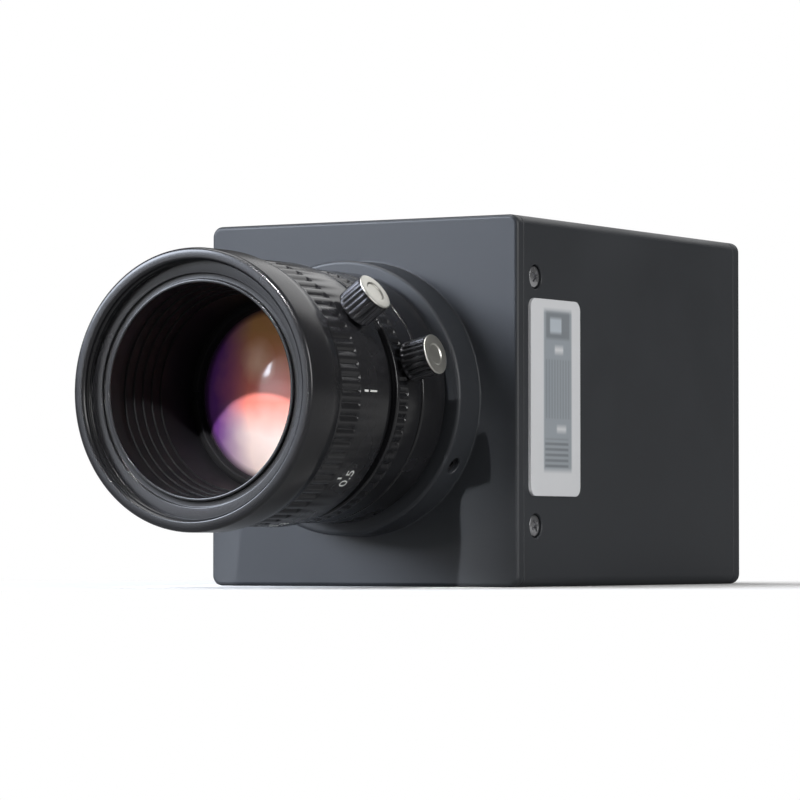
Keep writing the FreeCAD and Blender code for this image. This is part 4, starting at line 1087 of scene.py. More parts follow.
def rear_screw_places():
    """(mouth on the rear face, outward direction) of each rear cover screw."""
    body = sizes("body")
    low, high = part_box("housing")
    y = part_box("rear_cover")[1][1]
    x = high[0] - body.corner_inset
    return [(Vector((side * x, y, z)), Vector((0, 1, 0))) for side in (-1, 1)
            for z in (low[2] + body.corner_inset, high[2] - body.corner_inset)]


class CAMERA_OT_rear_cover(PieceOperator, bpy.types.Operator):
    """Make the rear cover with its holes"""
    bl_idname = "vision_camera.rear_cover"
    bl_label = "Rear cover"

    def make(self):
        body = sizes("body")
        back, front = back_of("rear_cover"), front_of("rear_cover")
        plate_front = back_of("housing")
        plate = body_slab("rear_cover", back, plate_front, body.face_edge, body.joint_edge)
        spigot = prism("spigot", cavity_outline(0.03 * MM, body.channel),
                       plate_front - 0.2 * MM, front)
        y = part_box("rear_cover")[1][1]
        tools = [hole(1.3 * MM, 3.0 * MM, origin, outward, 0.12 * MM, 2.35 * MM, 1.4 * MM)
                 for origin, outward in rear_screw_places()]
        for node in ("power_connector_shell", "network_connector_shell"):
            centre = middle(node)
            tools.append(hole(5.63 * MM, 8.0 * MM, Vector((centre.x, y, centre.z)), (0, 1, 0)))
        for centre in light_places():
            tools.append(hole(1.03 * MM, 8.0 * MM, Vector((centre.x, y, centre.z)), (0, 1, 0),
                              0.15 * MM))
        mesh = carved("rear_cover", plate, [spigot], tools)
        piece = place(weighted(mesh), "rear_plate", "camera", material("body_black"))
        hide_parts("rear_cover")


def light_places():
    """Centres of the three status lights."""
    low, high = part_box("status_light_pipes")
    radius = (high[2] - low[2]) / 2
    z = (high[2] + low[2]) / 2
    return [Vector((x, high[1], z)) for x in (low[0] + radius, 0.0, high[0] - radius)]


def screw_head(name, radius, height, shank, reach):
    """Screw standing on the origin: a domed cheese head with a cross recess, and its shank."""
    rim = 0.16 * radius
    head = turned(name, [(0, -reach), (shank, -reach, 0.2 * MM), (shank, 0), (radius, 0, 0.03 * MM),
                         (radius, height * 0.86, rim), (radius * 0.5, height * 0.985),
                         (0, height)], 64, False, Matrix.Identity(4))
    span = radius * 0.68
    half = span / 4.2
    depth = height * 0.55
    bm = bmesh.new()
    for turn in (0.0, pi / 2):
        matrix = Matrix.Rotation(turn, 4, "Z")
        top = [(-span, -half), (span, -half), (span, half), (-span, half)]
        low = [(-span * 0.55, -half * 0.7), (span * 0.55, -half * 0.7),
               (span * 0.55, half * 0.7), (-span * 0.55, half * 0.7)]
        loft(bm, [[matrix @ Vector((x, y, height - depth)) for x, y in low],
                  [matrix @ Vector((x, y, height + 0.2 * MM)) for x, y in top]])
        if turn == 0.0:
            first = mesh_of(bm, "slot")
            bm = bmesh.new()
    second = mesh_of(bm, "slot")
    return carved(name, head, [], [first, second])


class CAMERA_OT_body_screws(PieceOperator, bpy.types.Operator):
    """Make the side screws and the rear cover's screws"""
    bl_idname = "vision_camera.body_screws"
    bl_label = "Body screws"

    def make(self):
        body = sizes("body")
        sets = [("side_screws", "side_screw_set", body.side_head, 0.9 * MM, 0.8 * MM, 5.0 * MM,
                 side_screw_places(), 1.0 * MM, "bright_steel", 3),
                ("rear_cover_screws", "rear_screw_set", body.rear_head, 1.4 * MM, 1.25 * MM,
                 12.0 * MM, rear_screw_places(), 1.4 * MM, "dark_steel", 8)]
        for node, name, radius, height, shank, reach, places, sunk, slot, seed in sets:
            shape = screw_head(name, radius, height, shank, reach)
            seats = [(origin - outward * sunk, outward) for origin, outward in places]
            mesh = copies(name, shape, seats, material(slot), 2 * pi, seed)
            piece = place(mesh, name, "camera", material(slot))
            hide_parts(node)


class CAMERA_OT_side_plate(PieceOperator, bpy.types.Operator):
    """Make the thin printed plate on the side"""
    bl_idname = "vision_camera.side_plate"
    bl_label = "Side plate"

    def make(self):
        low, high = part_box("side_plate")
        centre = middle("side_plate")
        half_y, half_z = (high[1] - low[1]) / 2, (high[2] - low[2]) / 2
        corner = 1.2 * MM
        edge = 0.1 * MM
        bm = bmesh.new()
        sections = []
        for x, inset in ((low[0], 0.0), (high[0] - edge, 0.0), (high[0] - edge * 0.3, edge * 0.3),
                         (high[0], edge)):
            flat = rounded_rectangle(half_y, -half_z, half_z, corner, inset, 0.0)
            sections.append([Vector((x, centre.y + point.x, centre.z + point.z))
                             for point in flat])
        loft(bm, sections)
        piece = place(weighted(mesh_of(bm, "side_plate")), "printed_plate", "camera",
                      material("plate_white"))
        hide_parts("side_plate")


class CAMERA_OT_tripod_bush(PieceOperator, bpy.types.Operator):
    """Make the threaded bush in the base"""
    bl_idname = "vision_camera.tripod_bush"
    bl_label = "Tripod bush"

    def make(self):
        low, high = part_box("tripod_insert")
        outer = (high[0] - low[0]) / 2
        bore = 2.55 * MM
        crest = bore + 0.55 * MM
        pitch = 1.27 * MM
        depth = 5.5 * MM
        steps = 72
        bm = bmesh.new()
        rings = []
        segments = 48
        for step in range(steps + 1):
            z = depth * step / steps
            ring = []
            for k in range(segments):
                wave = abs(((z / pitch - k / segments) % 1.0) * 2 - 1)
                fade = min(1.0, step / 6.0)
                radius = crest - (crest - bore) * (wave if fade == 1.0 else wave * fade)
                radius = min(radius, crest)
                ring.append((radius * cos(2 * pi * k / segments),
                             radius * sin(2 * pi * k / segments), z))
            rings.append(ring)
        flat = [[(x / sqrt(x * x + y * y) * outer, y / sqrt(x * x + y * y) * outer, z)
                 for x, y, _ in rings[0]] for z in (high[2], 0.15 * MM)]
        rim = [[(x / sqrt(x * x + y * y) * (outer - 0.15 * MM),
                 y / sqrt(x * x + y * y) * (outer - 0.15 * MM), 0.0) for x, y, _ in rings[0]]]
        loft(bm, [[Vector(point) for point in ring] for ring in flat + rim + rings])
        piece = place(mesh_of(bm, "tripod_bush"), "tripod_bush", "camera",
                      material("bright_steel"))
        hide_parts("tripod_insert")


class CAMERA_OT_mount_barrel(PieceOperator, bpy.types.Operator):
    """Make the lens's fixed barrel and the collar between its rings"""
    bl_idname = "vision_camera.mount_barrel"
    bl_label = "Fixed barrel"

    def make(self):
        lens = sizes("lens")
        edge = lens.ring_edge
        mouth = front_of("mount_ring")
        flange_front = back_of("iris_ring") - 0.2 * MM
        rear, front = back_of("mount_barrel"), front_of("mount_barrel")
        outer = radius_of("mount_barrel")
        thread = 12.27 * MM
        tube, bore, nose = 13.4 * MM, 12.2 * MM, 10.5 * MM
        groove, groove_end = 14.6 * MM, mouth + 0.8 * MM
        points = [(nose, rear), (thread, rear, edge), (thread, mouth), (groove, mouth, 0.1 * MM),
                  (groove, groove_end), (outer, groove_end, 0.15 * MM),
                  (outer, flange_front, edge), (tube, flange_front), (tube, front, edge),
                  (bore, front, edge), (bore, rear + 5.2 * MM), (nose, rear + 5.2 * MM)]
        piece = place(weighted(turned("fixed_barrel", points)), "fixed_barrel", "camera",
                      material("lens_black"))
        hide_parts("mount_barrel")
        back, front, radius = (back_of("barrel_collar"), front_of("barrel_collar"),
                               radius_of("barrel_collar"))
        points = [(tube + 0.03 * MM, back), (radius, back, edge), (radius, front, edge),
                  (tube + 0.03 * MM, front)]
        piece = place(weighted(turned("collar", points)), "collar", "camera",
                      material("lens_black"))
        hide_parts("barrel_collar")


def banded(points, back, front, radius, step):
    """Outline of a ring with extra rows along its outside between two stations."""
    made = []
    for index, point in enumerate(points):
        made.append(point)
        after = points[(index + 1) % len(points)]
        if abs(point[0] - radius) < 1e-7 and abs(after[0] - radius) < 1e-7:
            rows = max(int((front - back) / step), 2)
            made += [(radius, back + (front - back) * row / rows) for row in range(rows + 1)]
    return made


def grip_ring_mesh(name, points, radius, band, row, fade):
    """Ring turned from an outline, with a grip band between two stations."""
    points = banded(points, band[0] - 0.1 * MM, band[1] + 0.1 * MM, radius, row)
    return knurled(name, turned("ring", points, RING_ROUND), band[1], band[0],
                   radius - 0.05 * MM, material("lens_black"), fade)


class CAMERA_OT_iris_ring(PieceOperator, bpy.types.Operator):
    """Make the iris ring with its grip band"""
    bl_idname = "vision_camera.iris_ring"
    bl_label = "Iris ring"

    def make(self):
        edge = sizes("lens").ring_edge
        back, front, radius = back_of("iris_ring"), front_of("iris_ring"), radius_of("iris_ring")
        points = [(RING_BORE, back), (radius, back, edge), (radius, front, edge),
                  (RING_BORE, front)]
        band = (front - 0.6 * MM - 2.0 * MM, front - 0.6 * MM)
        mesh = grip_ring_mesh("iris_grip_ring", points, radius, band, 0.1 * MM, 0.15 * MM)
        piece = place(mesh, "iris_grip_ring", "iris_ring", material("lens_black"))
        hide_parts("iris_ring")


class CAMERA_OT_focus_ring(PieceOperator, bpy.types.Operator):
    """Make the focus ring with its grip band"""
    bl_idname = "vision_camera.focus_ring"
    bl_label = "Focus ring"

    def make(self):
        edge = sizes("lens").ring_edge
        back, front = back_of("focus_ring"), front_of("focus_ring")
        radius = radius_of("focus_ring")
        nut = 14.3 * MM
        step = front_of("mount_barrel") + 0.1 * MM
        points = [(RING_BORE, back), (radius, back, 2 * edge), (radius, front, edge),
                  (nut, front), (nut, step), (RING_BORE, step)]
        band = (front - 0.6 * MM - 4.2 * MM, front - 0.6 * MM)
        mesh = grip_ring_mesh("focus_grip_ring", points, radius, band, 0.15 * MM, 0.2 * MM)
        piece = place(mesh, "focus_grip_ring", "focus_ring", material("lens_black"))
        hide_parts("focus_ring")


def wrapped_marks(name, marks, radius, body):
    """Digits and lines laid on a ring. Each mark is (text or width, angle, station, height)."""
    meshes = []
    for label, angle, station, height in marks:
        if isinstance(label, str):
            text = bpy.data.curves.new("digit", "FONT")
            text.body = label
            text.align_x = "CENTER"
            text.align_y = "CENTER"
            text.size = height / 0.7
            text.resolution_u = 4
            holder = linked("digit", text)
            flat = evaluated(holder, "digit")
            bpy.data.curves.remove(text)
            bm = bmesh.new()
            bm.from_mesh(flat)
            bpy.data.meshes.remove(flat)
        else:
            bm = bmesh.new()
            wide, tall = label, height
            bm.faces.new([bm.verts.new((x, y, 0)) for x, y in
                          ((-wide / 2, -tall / 2), (wide / 2, -tall / 2),
                           (wide / 2, tall / 2), (-wide / 2, tall / 2))])
        bmesh.ops.solidify(bm, geom=bm.faces[:], thickness=0.04 * MM)
        for vertex in bm.verts:
            reach = radius + 0.015 * MM + vertex.co.z
            turn = angle + vertex.co.x / radius * 180 / pi
            vertex.co = polar(reach, turn, station + vertex.co.y)
        meshes.append(mesh_of(bm, "mark"))
    return place(joined(name, meshes), name, body, material("engraving"))


class CAMERA_OT_scales(PieceOperator, bpy.types.Operator):
    """Make the engraved marks on the lens rings"""
    bl_idname = "vision_camera.scales"
    bl_label = "Scales"

    def make(self):
        height = sizes("lens").digit_height
        line = 0.25 * MM
        back = back_of("focus_ring")
        focus = []
        for label, angle in (("1", 0.0), ("0.5", -40.0), ("0.3", -80.0)):
            focus.append((label, angle, back + 3.9 * MM, height))
            focus.append((line, angle, back + 5.6 * MM, 0.9 * MM))
        wrapped_marks("focus_scale", focus, radius_of("focus_ring"), "focus_ring")


def lock_screw_mesh(name, ring_radius, angle, station):
    """Knurled thumbscrew standing on a ring."""
    lens = sizes("lens")
    radius = lens.lock_head
    under = lens.lock_gap
    top = under + lens.lock_height
    matrix = aimed(polar(ring_radius, angle, station), polar(1, angle, 0) - polar(0, angle, 0))
    points = [(0, -1.8 * MM), (MM, -1.8 * MM), (MM, under), (radius, under, 0.2 * MM)]
    rows = 18
    points += [(radius, under + 0.3 * MM + (top - under - 0.6 * MM) * row / rows)
               for row in range(rows + 1)]
    points += [(radius, top, 0.3 * MM), (radius * 0.55, top, 0.1 * MM),
               (radius * 0.48, top - 0.12 * MM, 0.05 * MM), (0, top - 0.12 * MM)]
    bm = bmesh.new()
    segments = lens.lock_grip * 12
    turn_outline(bm, soften(points, False), segments, False, Matrix.Identity(4))
    for vertex in bm.verts:
        reach = sqrt(vertex.co.x ** 2 + vertex.co.y ** 2)
        if reach > radius * 0.95 and under + 0.2 * MM < vertex.co.z < top - 0.2 * MM:
            turn = atan2(vertex.co.y, vertex.co.x) * lens.lock_grip / 2
            edge = min(vertex.co.z - under - 0.2 * MM, top - 0.2 * MM - vertex.co.z)
            deep = 0.2 * MM * (1 - abs(sin(turn))) * min(edge / (0.25 * MM), 1.0)
            vertex.co.x *= 1 - deep / reach
            vertex.co.y *= 1 - deep / reach
    mesh = mesh_of(bm, name, 40.0)
    end = [face.index for face in mesh.polygons if face.center.z > top - 0.2 * MM]
    mesh.transform(matrix)
    return mesh, end


class CAMERA_OT_lock_screws(PieceOperator, bpy.types.Operator):
    """Make the thumbscrews that lock the iris and focus rings"""
    bl_idname = "vision_camera.lock_screws"
    bl_label = "Lock screws"

    def make(self):
        for node, ring, body, name in (("iris_lock_screw", "iris_ring", "iris_lock", "iris_lock_knob"),
                                       ("focus_lock_screw", "focus_ring", "focus_lock",
                                        "focus_lock_knob")):
            centre = middle(node)
            angle = atan2(centre.z - AXIS.z, centre.x - AXIS.x) * 180 / pi
            mesh, end = lock_screw_mesh(name, radius_of(ring), angle, station_of(centre.y))
            piece = place(mesh, name, body, material("dark_steel"))
            mesh.materials.append(material("satin_steel"))
            for index in end:
                mesh.polygons[index].material_index = 1
            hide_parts(node)


class CAMERA_OT_front_barrel(PieceOperator, bpy.types.Operator):
    """Make the sliding front barrel with its filter thread and stepped hood"""
    bl_idname = "vision_camera.front_barrel"
    bl_label = "Front barrel"

    def make(self):
        lens = sizes("lens")
        rear, front, rim = (back_of("front_barrel"), front_of("front_barrel"),
                            radius_of("front_barrel"))
        rim_back = front_of("focus_ring") + 0.2 * MM
        rim_rear_radius = rim - 0.4 * MM
        bore, tube, helicoid = 11.03 * MM, 12.15 * MM, 14.25 * MM
        helicoid_back = front_of("mount_barrel") + 0.3 * MM
        filter_radius = mount_radius("filter_thread")
        thread_back = front - lens.filter_depth
        groove_outer = filter_radius - lens.stop_width
        groove_inner = groove_outer - lens.groove_width
        lip_radius = groove_inner - lens.lip_width
        step_back = thread_back - lens.lip_length
        crest = filter_radius
        points = [(bore, rear), (tube, rear, 0.1 * MM), (tube, helicoid_back),
                  (helicoid, helicoid_back, 0.1 * MM), (helicoid, rim_back),
                  (rim_rear_radius, rim_back, 0.2 * MM), (rim, rim_back + 2.0 * MM, 0.6 * MM),
                  (rim, front, 0.95 * MM), (crest + 0.3 * MM, front, 0.1 * MM),
                  (crest + 0.05 * MM, front - 0.3 * MM)]
        rows = 44
        thread = (thread_back + 0.15 * MM, front - 0.4 * MM)
        points += [(crest, thread[1] + (thread[0] - thread[1]) * row / rows)
                   for row in range(rows + 1)]
        groove_floor = thread_back - lens.groove_depth
        points += [(crest, thread_back), (groove_outer, thread_back, 0.12 * MM),
                   (groove_outer, groove_floor, 0.1 * MM), (groove_inner, groove_floor, 0.1 * MM),
                   (groove_inner, thread_back, 0.15 * MM), (lip_radius, thread_back, 0.15 * MM),
                   (lip_radius, step_back)]
        drop = (lens.hood_radius - lens.throat_radius) / lens.baffles
        for index in range(lens.baffles):
            radius = lens.hood_radius - drop * index
            top = step_back - lens.baffle_length * index
            points += [(radius + 0.08 * MM, top, 0.04 * MM), (radius, top - 0.08 * MM, 0.04 * MM),
                       (radius - drop + 0.22 * MM, top - lens.baffle_length)]
        retainer_front = front_of("front_retainer")
        glass_back = back_of("second_cell")
        seat = glass_seat()
        points += [(lens.throat_radius, step_back - lens.baffle_length * lens.baffles),
                   (lens.throat_radius, retainer_front), (11.53 * MM, retainer_front),
                   (11.53 * MM, seat + 3.0 * MM), (bore, seat + 3.0 * MM), (bore, seat),
                   (bore - 1.0 * MM, seat), (bore - 1.0 * MM, seat - 0.25 * MM),
                   (bore, seat - 0.25 * MM), (bore, glass_back)]
        mesh = turned("hood", points, 320)
        mesh = threaded("front_hood", mesh, lens.filter_pitch, -0.22 * MM,
                        FACE_Y - thread[1], FACE_Y - thread[0], crest - 0.02 * MM,
                        crest + 0.02 * MM, Vector((AXIS.x, 0, AXIS.z)), material("lens_black"))
        piece = place(mesh, "front_hood", "front_barrel", material("lens_black"))
        split_hood(piece.data, thread_back - 0.18 * MM)
        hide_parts("front_barrel")


def mount_radius(name):
    """Radius of a mount in the record, in metres."""
    mounts = {mount["name"]: mount for mount in frame["record"]["mounts"]}
    return mounts[name]["dims"]["r_mm"] * MM


def glass_seat():
    """Station of the front element's rear edge."""
    return front_of("second_cell") + 0.03 * MM


def split_hood(mesh, lip_front):
    """Gives the hood's inside its flat black finish."""
    mesh.materials.append(material("flat_black"))
    for face in mesh.polygons:
        centre = face.center
        distance = sqrt((centre.x - AXIS.x) ** 2 + (centre.z - AXIS.z) ** 2)
        inside = station_of(centre.y) <= lip_front
        if inside and distance < 13.0 * MM:
            face.material_index = 1


def dome_points(chord, edge, bulge, rings, outward):
    """(radius, height) points of a spherical face from its rim to its middle."""
    sphere = (bulge ** 2 + chord ** 2) / (2 * abs(bulge))
    sign = outward if bulge > 0 else -outward
    made = []
    for ring in range(rings + 1):
        radius = chord * (1 - ring / rings)
        rise = sqrt(sphere ** 2 - radius ** 2) - (sphere - abs(bulge))
        made.append((radius, edge + sign * rise))
    return made


def element_mesh(name, radius, back, front, back_bulge, front_bulge, flat):
    """Glass element with spherical faces and a finely chamfered edge."""
    chord = radius - flat
    points = dome_points(chord, front, front_bulge, 40, 1)
    points = points[::-1] + [(radius - 0.1 * MM, front), (radius, front - 0.1 * MM),
                             (radius, back + 0.1 * MM), (radius - 0.1 * MM, back)]
    points += dome_points(chord, back, back_bulge, 28, -1)
    return turned(name, points, 192, False, crease=30.0)


class CAMERA_OT_glass(PieceOperator, bpy.types.Operator):
    """Make the two front glass elements and the ring that holds them"""
    bl_idname = "vision_camera.glass"
    bl_label = "Glass and retainer"

    def make(self):
        edge = glass_seat()
        front = element_mesh("front_lens", 11.0 * MM, edge, edge + 3.0 * MM, -1.1 * MM,
                             2.2 * MM, 0.55 * MM)
        # The front element wears the painted reflections and the painted highlight
        piece = place(front, "front_lens", "front_barrel", material("inner_coating"))
        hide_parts("front_element")
        edge = back_of("second_cell") + 1.0 * MM
        second = element_mesh("second_lens", 8.57 * MM, edge, edge + 2.6 * MM, -1.0 * MM,
                              1.4 * MM, 0.6 * MM)
        piece = place(second, "second_lens", "front_barrel", material("coated_glass"))
        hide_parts("second_element")
        back, front_end = back_of("front_retainer"), front_of("front_retainer")
        ring = turned("retainer", [(10.45 * MM, back), (11.5 * MM, back, 0.05 * MM),
                                   (11.5 * MM, front_end, 0.08 * MM),
                                   (10.75 * MM, front_end, 0.08 * MM), (10.45 * MM, back + 0.3 * MM)])
        bm = bmesh.new()
        half, low = 0.5 * MM, back + 0.45 * MM
        loft(bm, [[Vector((x, FACE_Y - s, AXIS.z + z)) for x, z in
                   ((-12 * MM, -half), (12 * MM, -half), (12 * MM, half), (-12 * MM, half))]
                  for s in (low, front_end + MM)])
        ring = carved("retainer", ring, [], [mesh_of(bm, "slot")])
        piece = place(ring, "glass_retainer", "front_barrel", material("flat_black"))
        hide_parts("front_retainer")


def hexagon_mesh(name, centre, flat, back, front):
    """Hexagon with flats at its left and right and its corners turned down."""
    corner = flat / sqrt(3)
    outline = [(centre.x + corner * sin(pi * k / 3), centre.z + corner * cos(pi * k / 3), 0)
               for k in range(6)]
    block = prism(name, outline, back, front)
    matrix = lens_matrix(centre)
    cone = turned("cone", [(0, back - 0.01 * MM), (flat / 2 * 0.98, back - 0.01 * MM),
                           (corner * 1.02, back + 0.75 * MM), (corner * 1.02, front + MM),
                           (0, front + MM)], 96, False, matrix)
    return combined(name, block, [("INTERSECT", cone)])


class CAMERA_OT_sockets(PieceOperator, bpy.types.Operator):
    """Make the power socket and the network socket at the rear"""
    bl_idname = "vision_camera.sockets"
    bl_label = "Rear sockets"

    def make(self):
        self.make_shell("power_connector_shell", "power_socket", 6.0 * MM, 4.6 * MM, 7.5 * MM,
                        True)
        self.make_shell("network_connector_shell", "network_socket", 7.1 * MM, 5.46 * MM,
                        8.4 * MM, False)
        self.make_insert("power_connector_insert", "power_insert", 0.43 * MM, power_pins())
        self.make_insert("network_connector_insert", "network_insert", 0.63 * MM,
                         network_contacts())
        self.make_pins("power_connector_pins", "power_connector_insert", "power_pins",
                       pin_mesh, power_pins())
        self.make_pins("network_connector_contacts", "network_connector_insert",
                       "network_sleeves", sleeve_mesh, network_contacts())

    def make_shell(self, node, name, outer, bore, depth, outside):
        socket = sizes("sockets")
        centre = middle(node)
        rear = back_of("rear_cover")
        hex_back = rear - socket.hexagon_depth
        mouth = back_of(node)
        matrix = lens_matrix(centre)
        low, high = mouth + 0.3 * MM, hex_back - 0.5 * MM
        step = socket.thread_pitch / 10
        rows = [row * step for row in range(int((high - low) / step) + 1)]
        if outside:
            wall = [(outer - 0.3 * MM, mouth), (outer, low)]
            wall += [(outer, low + row) for row in rows]
            wall += [(outer, hex_back - 0.3 * MM), (outer - 0.3 * MM, hex_back + 0.3 * MM)]
            inner = [(bore, mouth + depth), (bore, mouth + 0.2 * MM), (bore + 0.2 * MM, mouth)]
            limits = (outer - 0.02 * MM, outer + 0.02 * MM, socket.thread_depth)
        else:
            wall = [(outer - 0.2 * MM, mouth), (outer, mouth + 0.2 * MM),
                    (outer, hex_back + 0.3 * MM)]
            inner = [(bore, mouth + depth)]
            inner += [(bore, low + row) for row in reversed(rows)]
            inner += [(bore + 0.25 * MM, mouth)]
            limits = (bore - 0.02 * MM, bore + 0.02 * MM, -socket.thread_depth)
        points = wall + [(5.6 * MM, hex_back + 0.3 * MM), (5.6 * MM, front_of(node)),
                         (4.33 * MM, front_of(node)), (4.33 * MM, mouth + depth)] + inner
        tube = turned(name, points, 160, True, matrix)
        tube = threaded(name, tube, socket.thread_pitch, limits[2], FACE_Y - high,
                        FACE_Y - low, limits[0], limits[1],
                        Vector((centre.x, 0, centre.z)), material("nickel"))
        nut = hexagon_mesh(name, centre, socket.flat, hex_back, rear)
        bore_tool = turned("bore", [(0, hex_back - MM), (5.58 * MM, hex_back - MM),
                                    (5.58 * MM, rear + MM), (0, rear + MM)], 160, False, matrix)
        nut = weighted(carved(name, nut, [], [bore_tool], 30.0))
        piece = place(joined(name, [tube, nut]), name, "camera", material("nickel"))
        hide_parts(node)

    def make_insert(self, node, name, pin, places):
        centre = middle(node)
        back, front = back_of(node), front_of(node)
        matrix = lens_matrix(centre)
        body = turned(name, [(0, back), (4.3 * MM, back, 0.15 * MM), (4.3 * MM, front), (0, front)],
                      96, False, matrix)
        holes = [hole(pin, 4.0 * MM, Vector((centre.x + x, FACE_Y - back, centre.z + z)),
                      (0, 1, 0), 0.08 * MM, segments=20) for x, z in places]
        mesh = carved(name, body, [], [joined("holes", holes)])
        piece = place(weighted(mesh), name, "camera", material("insert_black"))
        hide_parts(node)

    def make_pins(self, node, insert, name, shape, places):
        centre = middle(insert)
        front = front_of(node)
        mesh = copies(name, shape(front - back_of(node)),
                      [(Vector((centre.x + x, FACE_Y - front, centre.z + z)), REARWARDS)
                       for x, z in places], material("brass_bright"))
        piece = place(mesh, name, "camera", material("brass_bright"))
        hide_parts(node)


def pin_mesh(reach):
    """Round contact pin with a rounded tip."""
    return turned("pin", [(0, 0), (0.36 * MM, 0), (0.38 * MM, reach - 0.7 * MM, 0.2 * MM),
                          (0.12 * MM, reach, 0.1 * MM), (0, reach)], 20, False,
                  Matrix.Identity(4))


def sleeve_mesh(reach):
    """Contact sleeve, open at both ends."""
    return turned("sleeve", [(0.35 * MM, 0), (0.6 * MM, 0), (0.6 * MM, reach, 0.05 * MM),
                             (0.35 * MM, reach, 0.1 * MM)], 24, True, Matrix.Identity(4))


def power_pins():
    """(x, z) of the power socket's pins from its centre."""
    outer = [(3.0 * MM, 22.5 + 45 * k) for k in range(8)]
    inner = [(1.25 * MM, 45 + 90 * k) for k in range(4)]
    return [(r * cos(radians(a)), r * sin(radians(a))) for r, a in outer + inner]


def network_contacts():
    """(x, z) of the network socket's contacts from its centre, in four pairs."""
    angles = [90 * k + side * 22.5 for k in range(4) for side in (-1, 1)]
    return [(2.6 * MM * cos(radians(a)), 2.6 * MM * sin(radians(a))) for a in angles]


class CAMERA_OT_status_lights(PieceOperator, bpy.types.Operator):
    """Make the three clear status light rods"""
    bl_idname = "vision_camera.status_lights"
    bl_label = "Status lights"

    def make(self):
        node = "status_light_pipes"
        back, front = back_of(node), front_of(node)
        reach = front - back
        rod = turned("rod", [(0, 0), (MM, 0, 0.05 * MM), (MM, reach - 0.25 * MM, 0.1 * MM),
                             (0.7 * MM, reach - 0.08 * MM, 0.1 * MM), (0, reach)], 48, False,
                     Matrix.Identity(4))
        places = [(Vector((centre.x, FACE_Y - front, centre.z)), Vector((0, 1, 0)))
                  for centre in light_places()]
        mesh = copies("light_rods", rod, places, material("light_pipe"))
        piece = place(mesh, "light_rods", "camera", material("light_pipe"))
        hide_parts(node)


# ---------------------------------------------------------------------------------------------
# Stage
# ---------------------------------------------------------------------------------------------

TARGET = Vector((0.0, -0.03, 0.022))      # where the area lamps point
AREA_LAMPS = (                            # name, place, width, height, watts, tint
    ("key", (-0.66, -0.68, 0.44), 0.50, 0.50, 15.4, (0.80, 0.87, 1.0)),
    ("low_left", (-0.50, -0.86, 0.06), 0.30, 0.22, 0.35, (0.92, 0.95, 1.0)),
    ("top", (-0.20, -0.10, 0.90), 0.50, 0.50, 4.0, (1.0, 1.0, 1.0)),
    ("back_top", (-0.05, 0.84, 0.56), 0.70, 0.45, 1.2, (1.0, 1.0, 1.0)),
    ("side", (0.95, -0.12, 0.28), 0.45, 0.45, 4.4, (1.0, 1.0, 1.0)),
)
BEAMS = (                                 # name, place and aim from the glass, degrees, watts
    ("lens_spot", (0.04, -0.45, 0.38), (0.0, 0.0, -6.0 * MM), 1.9, 130.0),
    ("lens_fill", (-0.12, -0.60, 0.03), (0.0, 0.0, 0.0), 2.4, 5.0),
)


def pointed(name, data, origin, aim):
    """New lamp or camera at a place, turned towards another."""
    holder = linked(name, data)
    holder.location = origin
    holder.rotation_mode = "QUATERNION"
    holder.rotation_quaternion = (Vector(aim) - Vector(origin)).to_track_quat("-Z", "Y")
    return holder


def area_lamp(name, origin, width, height, power, tint):
    lamp = bpy.data.lights.new(name, "AREA")
    lamp.shape = "RECTANGLE"
    lamp.size = width
    lamp.size_y = height
    lamp.energy = power
    lamp.color = tint
    pointed(name, lamp, origin, TARGET)


def spot_lamp(name, origin, aim, spread, power):
    """Narrow beam; its spread is in degrees."""
    lamp = bpy.data.lights.new(name, "SPOT")
    lamp.spot_size = radians(spread)
    lamp.spot_blend = 0.5
    lamp.shadow_soft_size = 0.02
    lamp.energy = power
    pointed(name, lamp, origin, aim)


def white_world(light_level, gloss_level):
    """World that looks white to the camera and through glass, and lights more gently."""
    world = bpy.data.worlds.new("studio")
    world.use_nodes = True
    bpy.context.scene.world = world
    tree = world.node_tree
    back = tree.nodes["Background"]
    path = tree.nodes.new("ShaderNodeLightPath")
    seen = maths(tree, "MAXIMUM", path.outputs["Is Camera Ray"],
                 path.outputs["Is Transmission Ray"])
    gloss = maths(tree, "MULTIPLY", path.outputs["Is Glossy Ray"], gloss_level - light_level)
    level = maths(tree, "ADD", gloss, light_level)
    strength = maths(tree, "MAXIMUM", level, seen)
    back.inputs["Color"].default_value = (1.0, 1.0, 1.0, 1.0)
    tree.links.new(strength, back.inputs["Strength"])


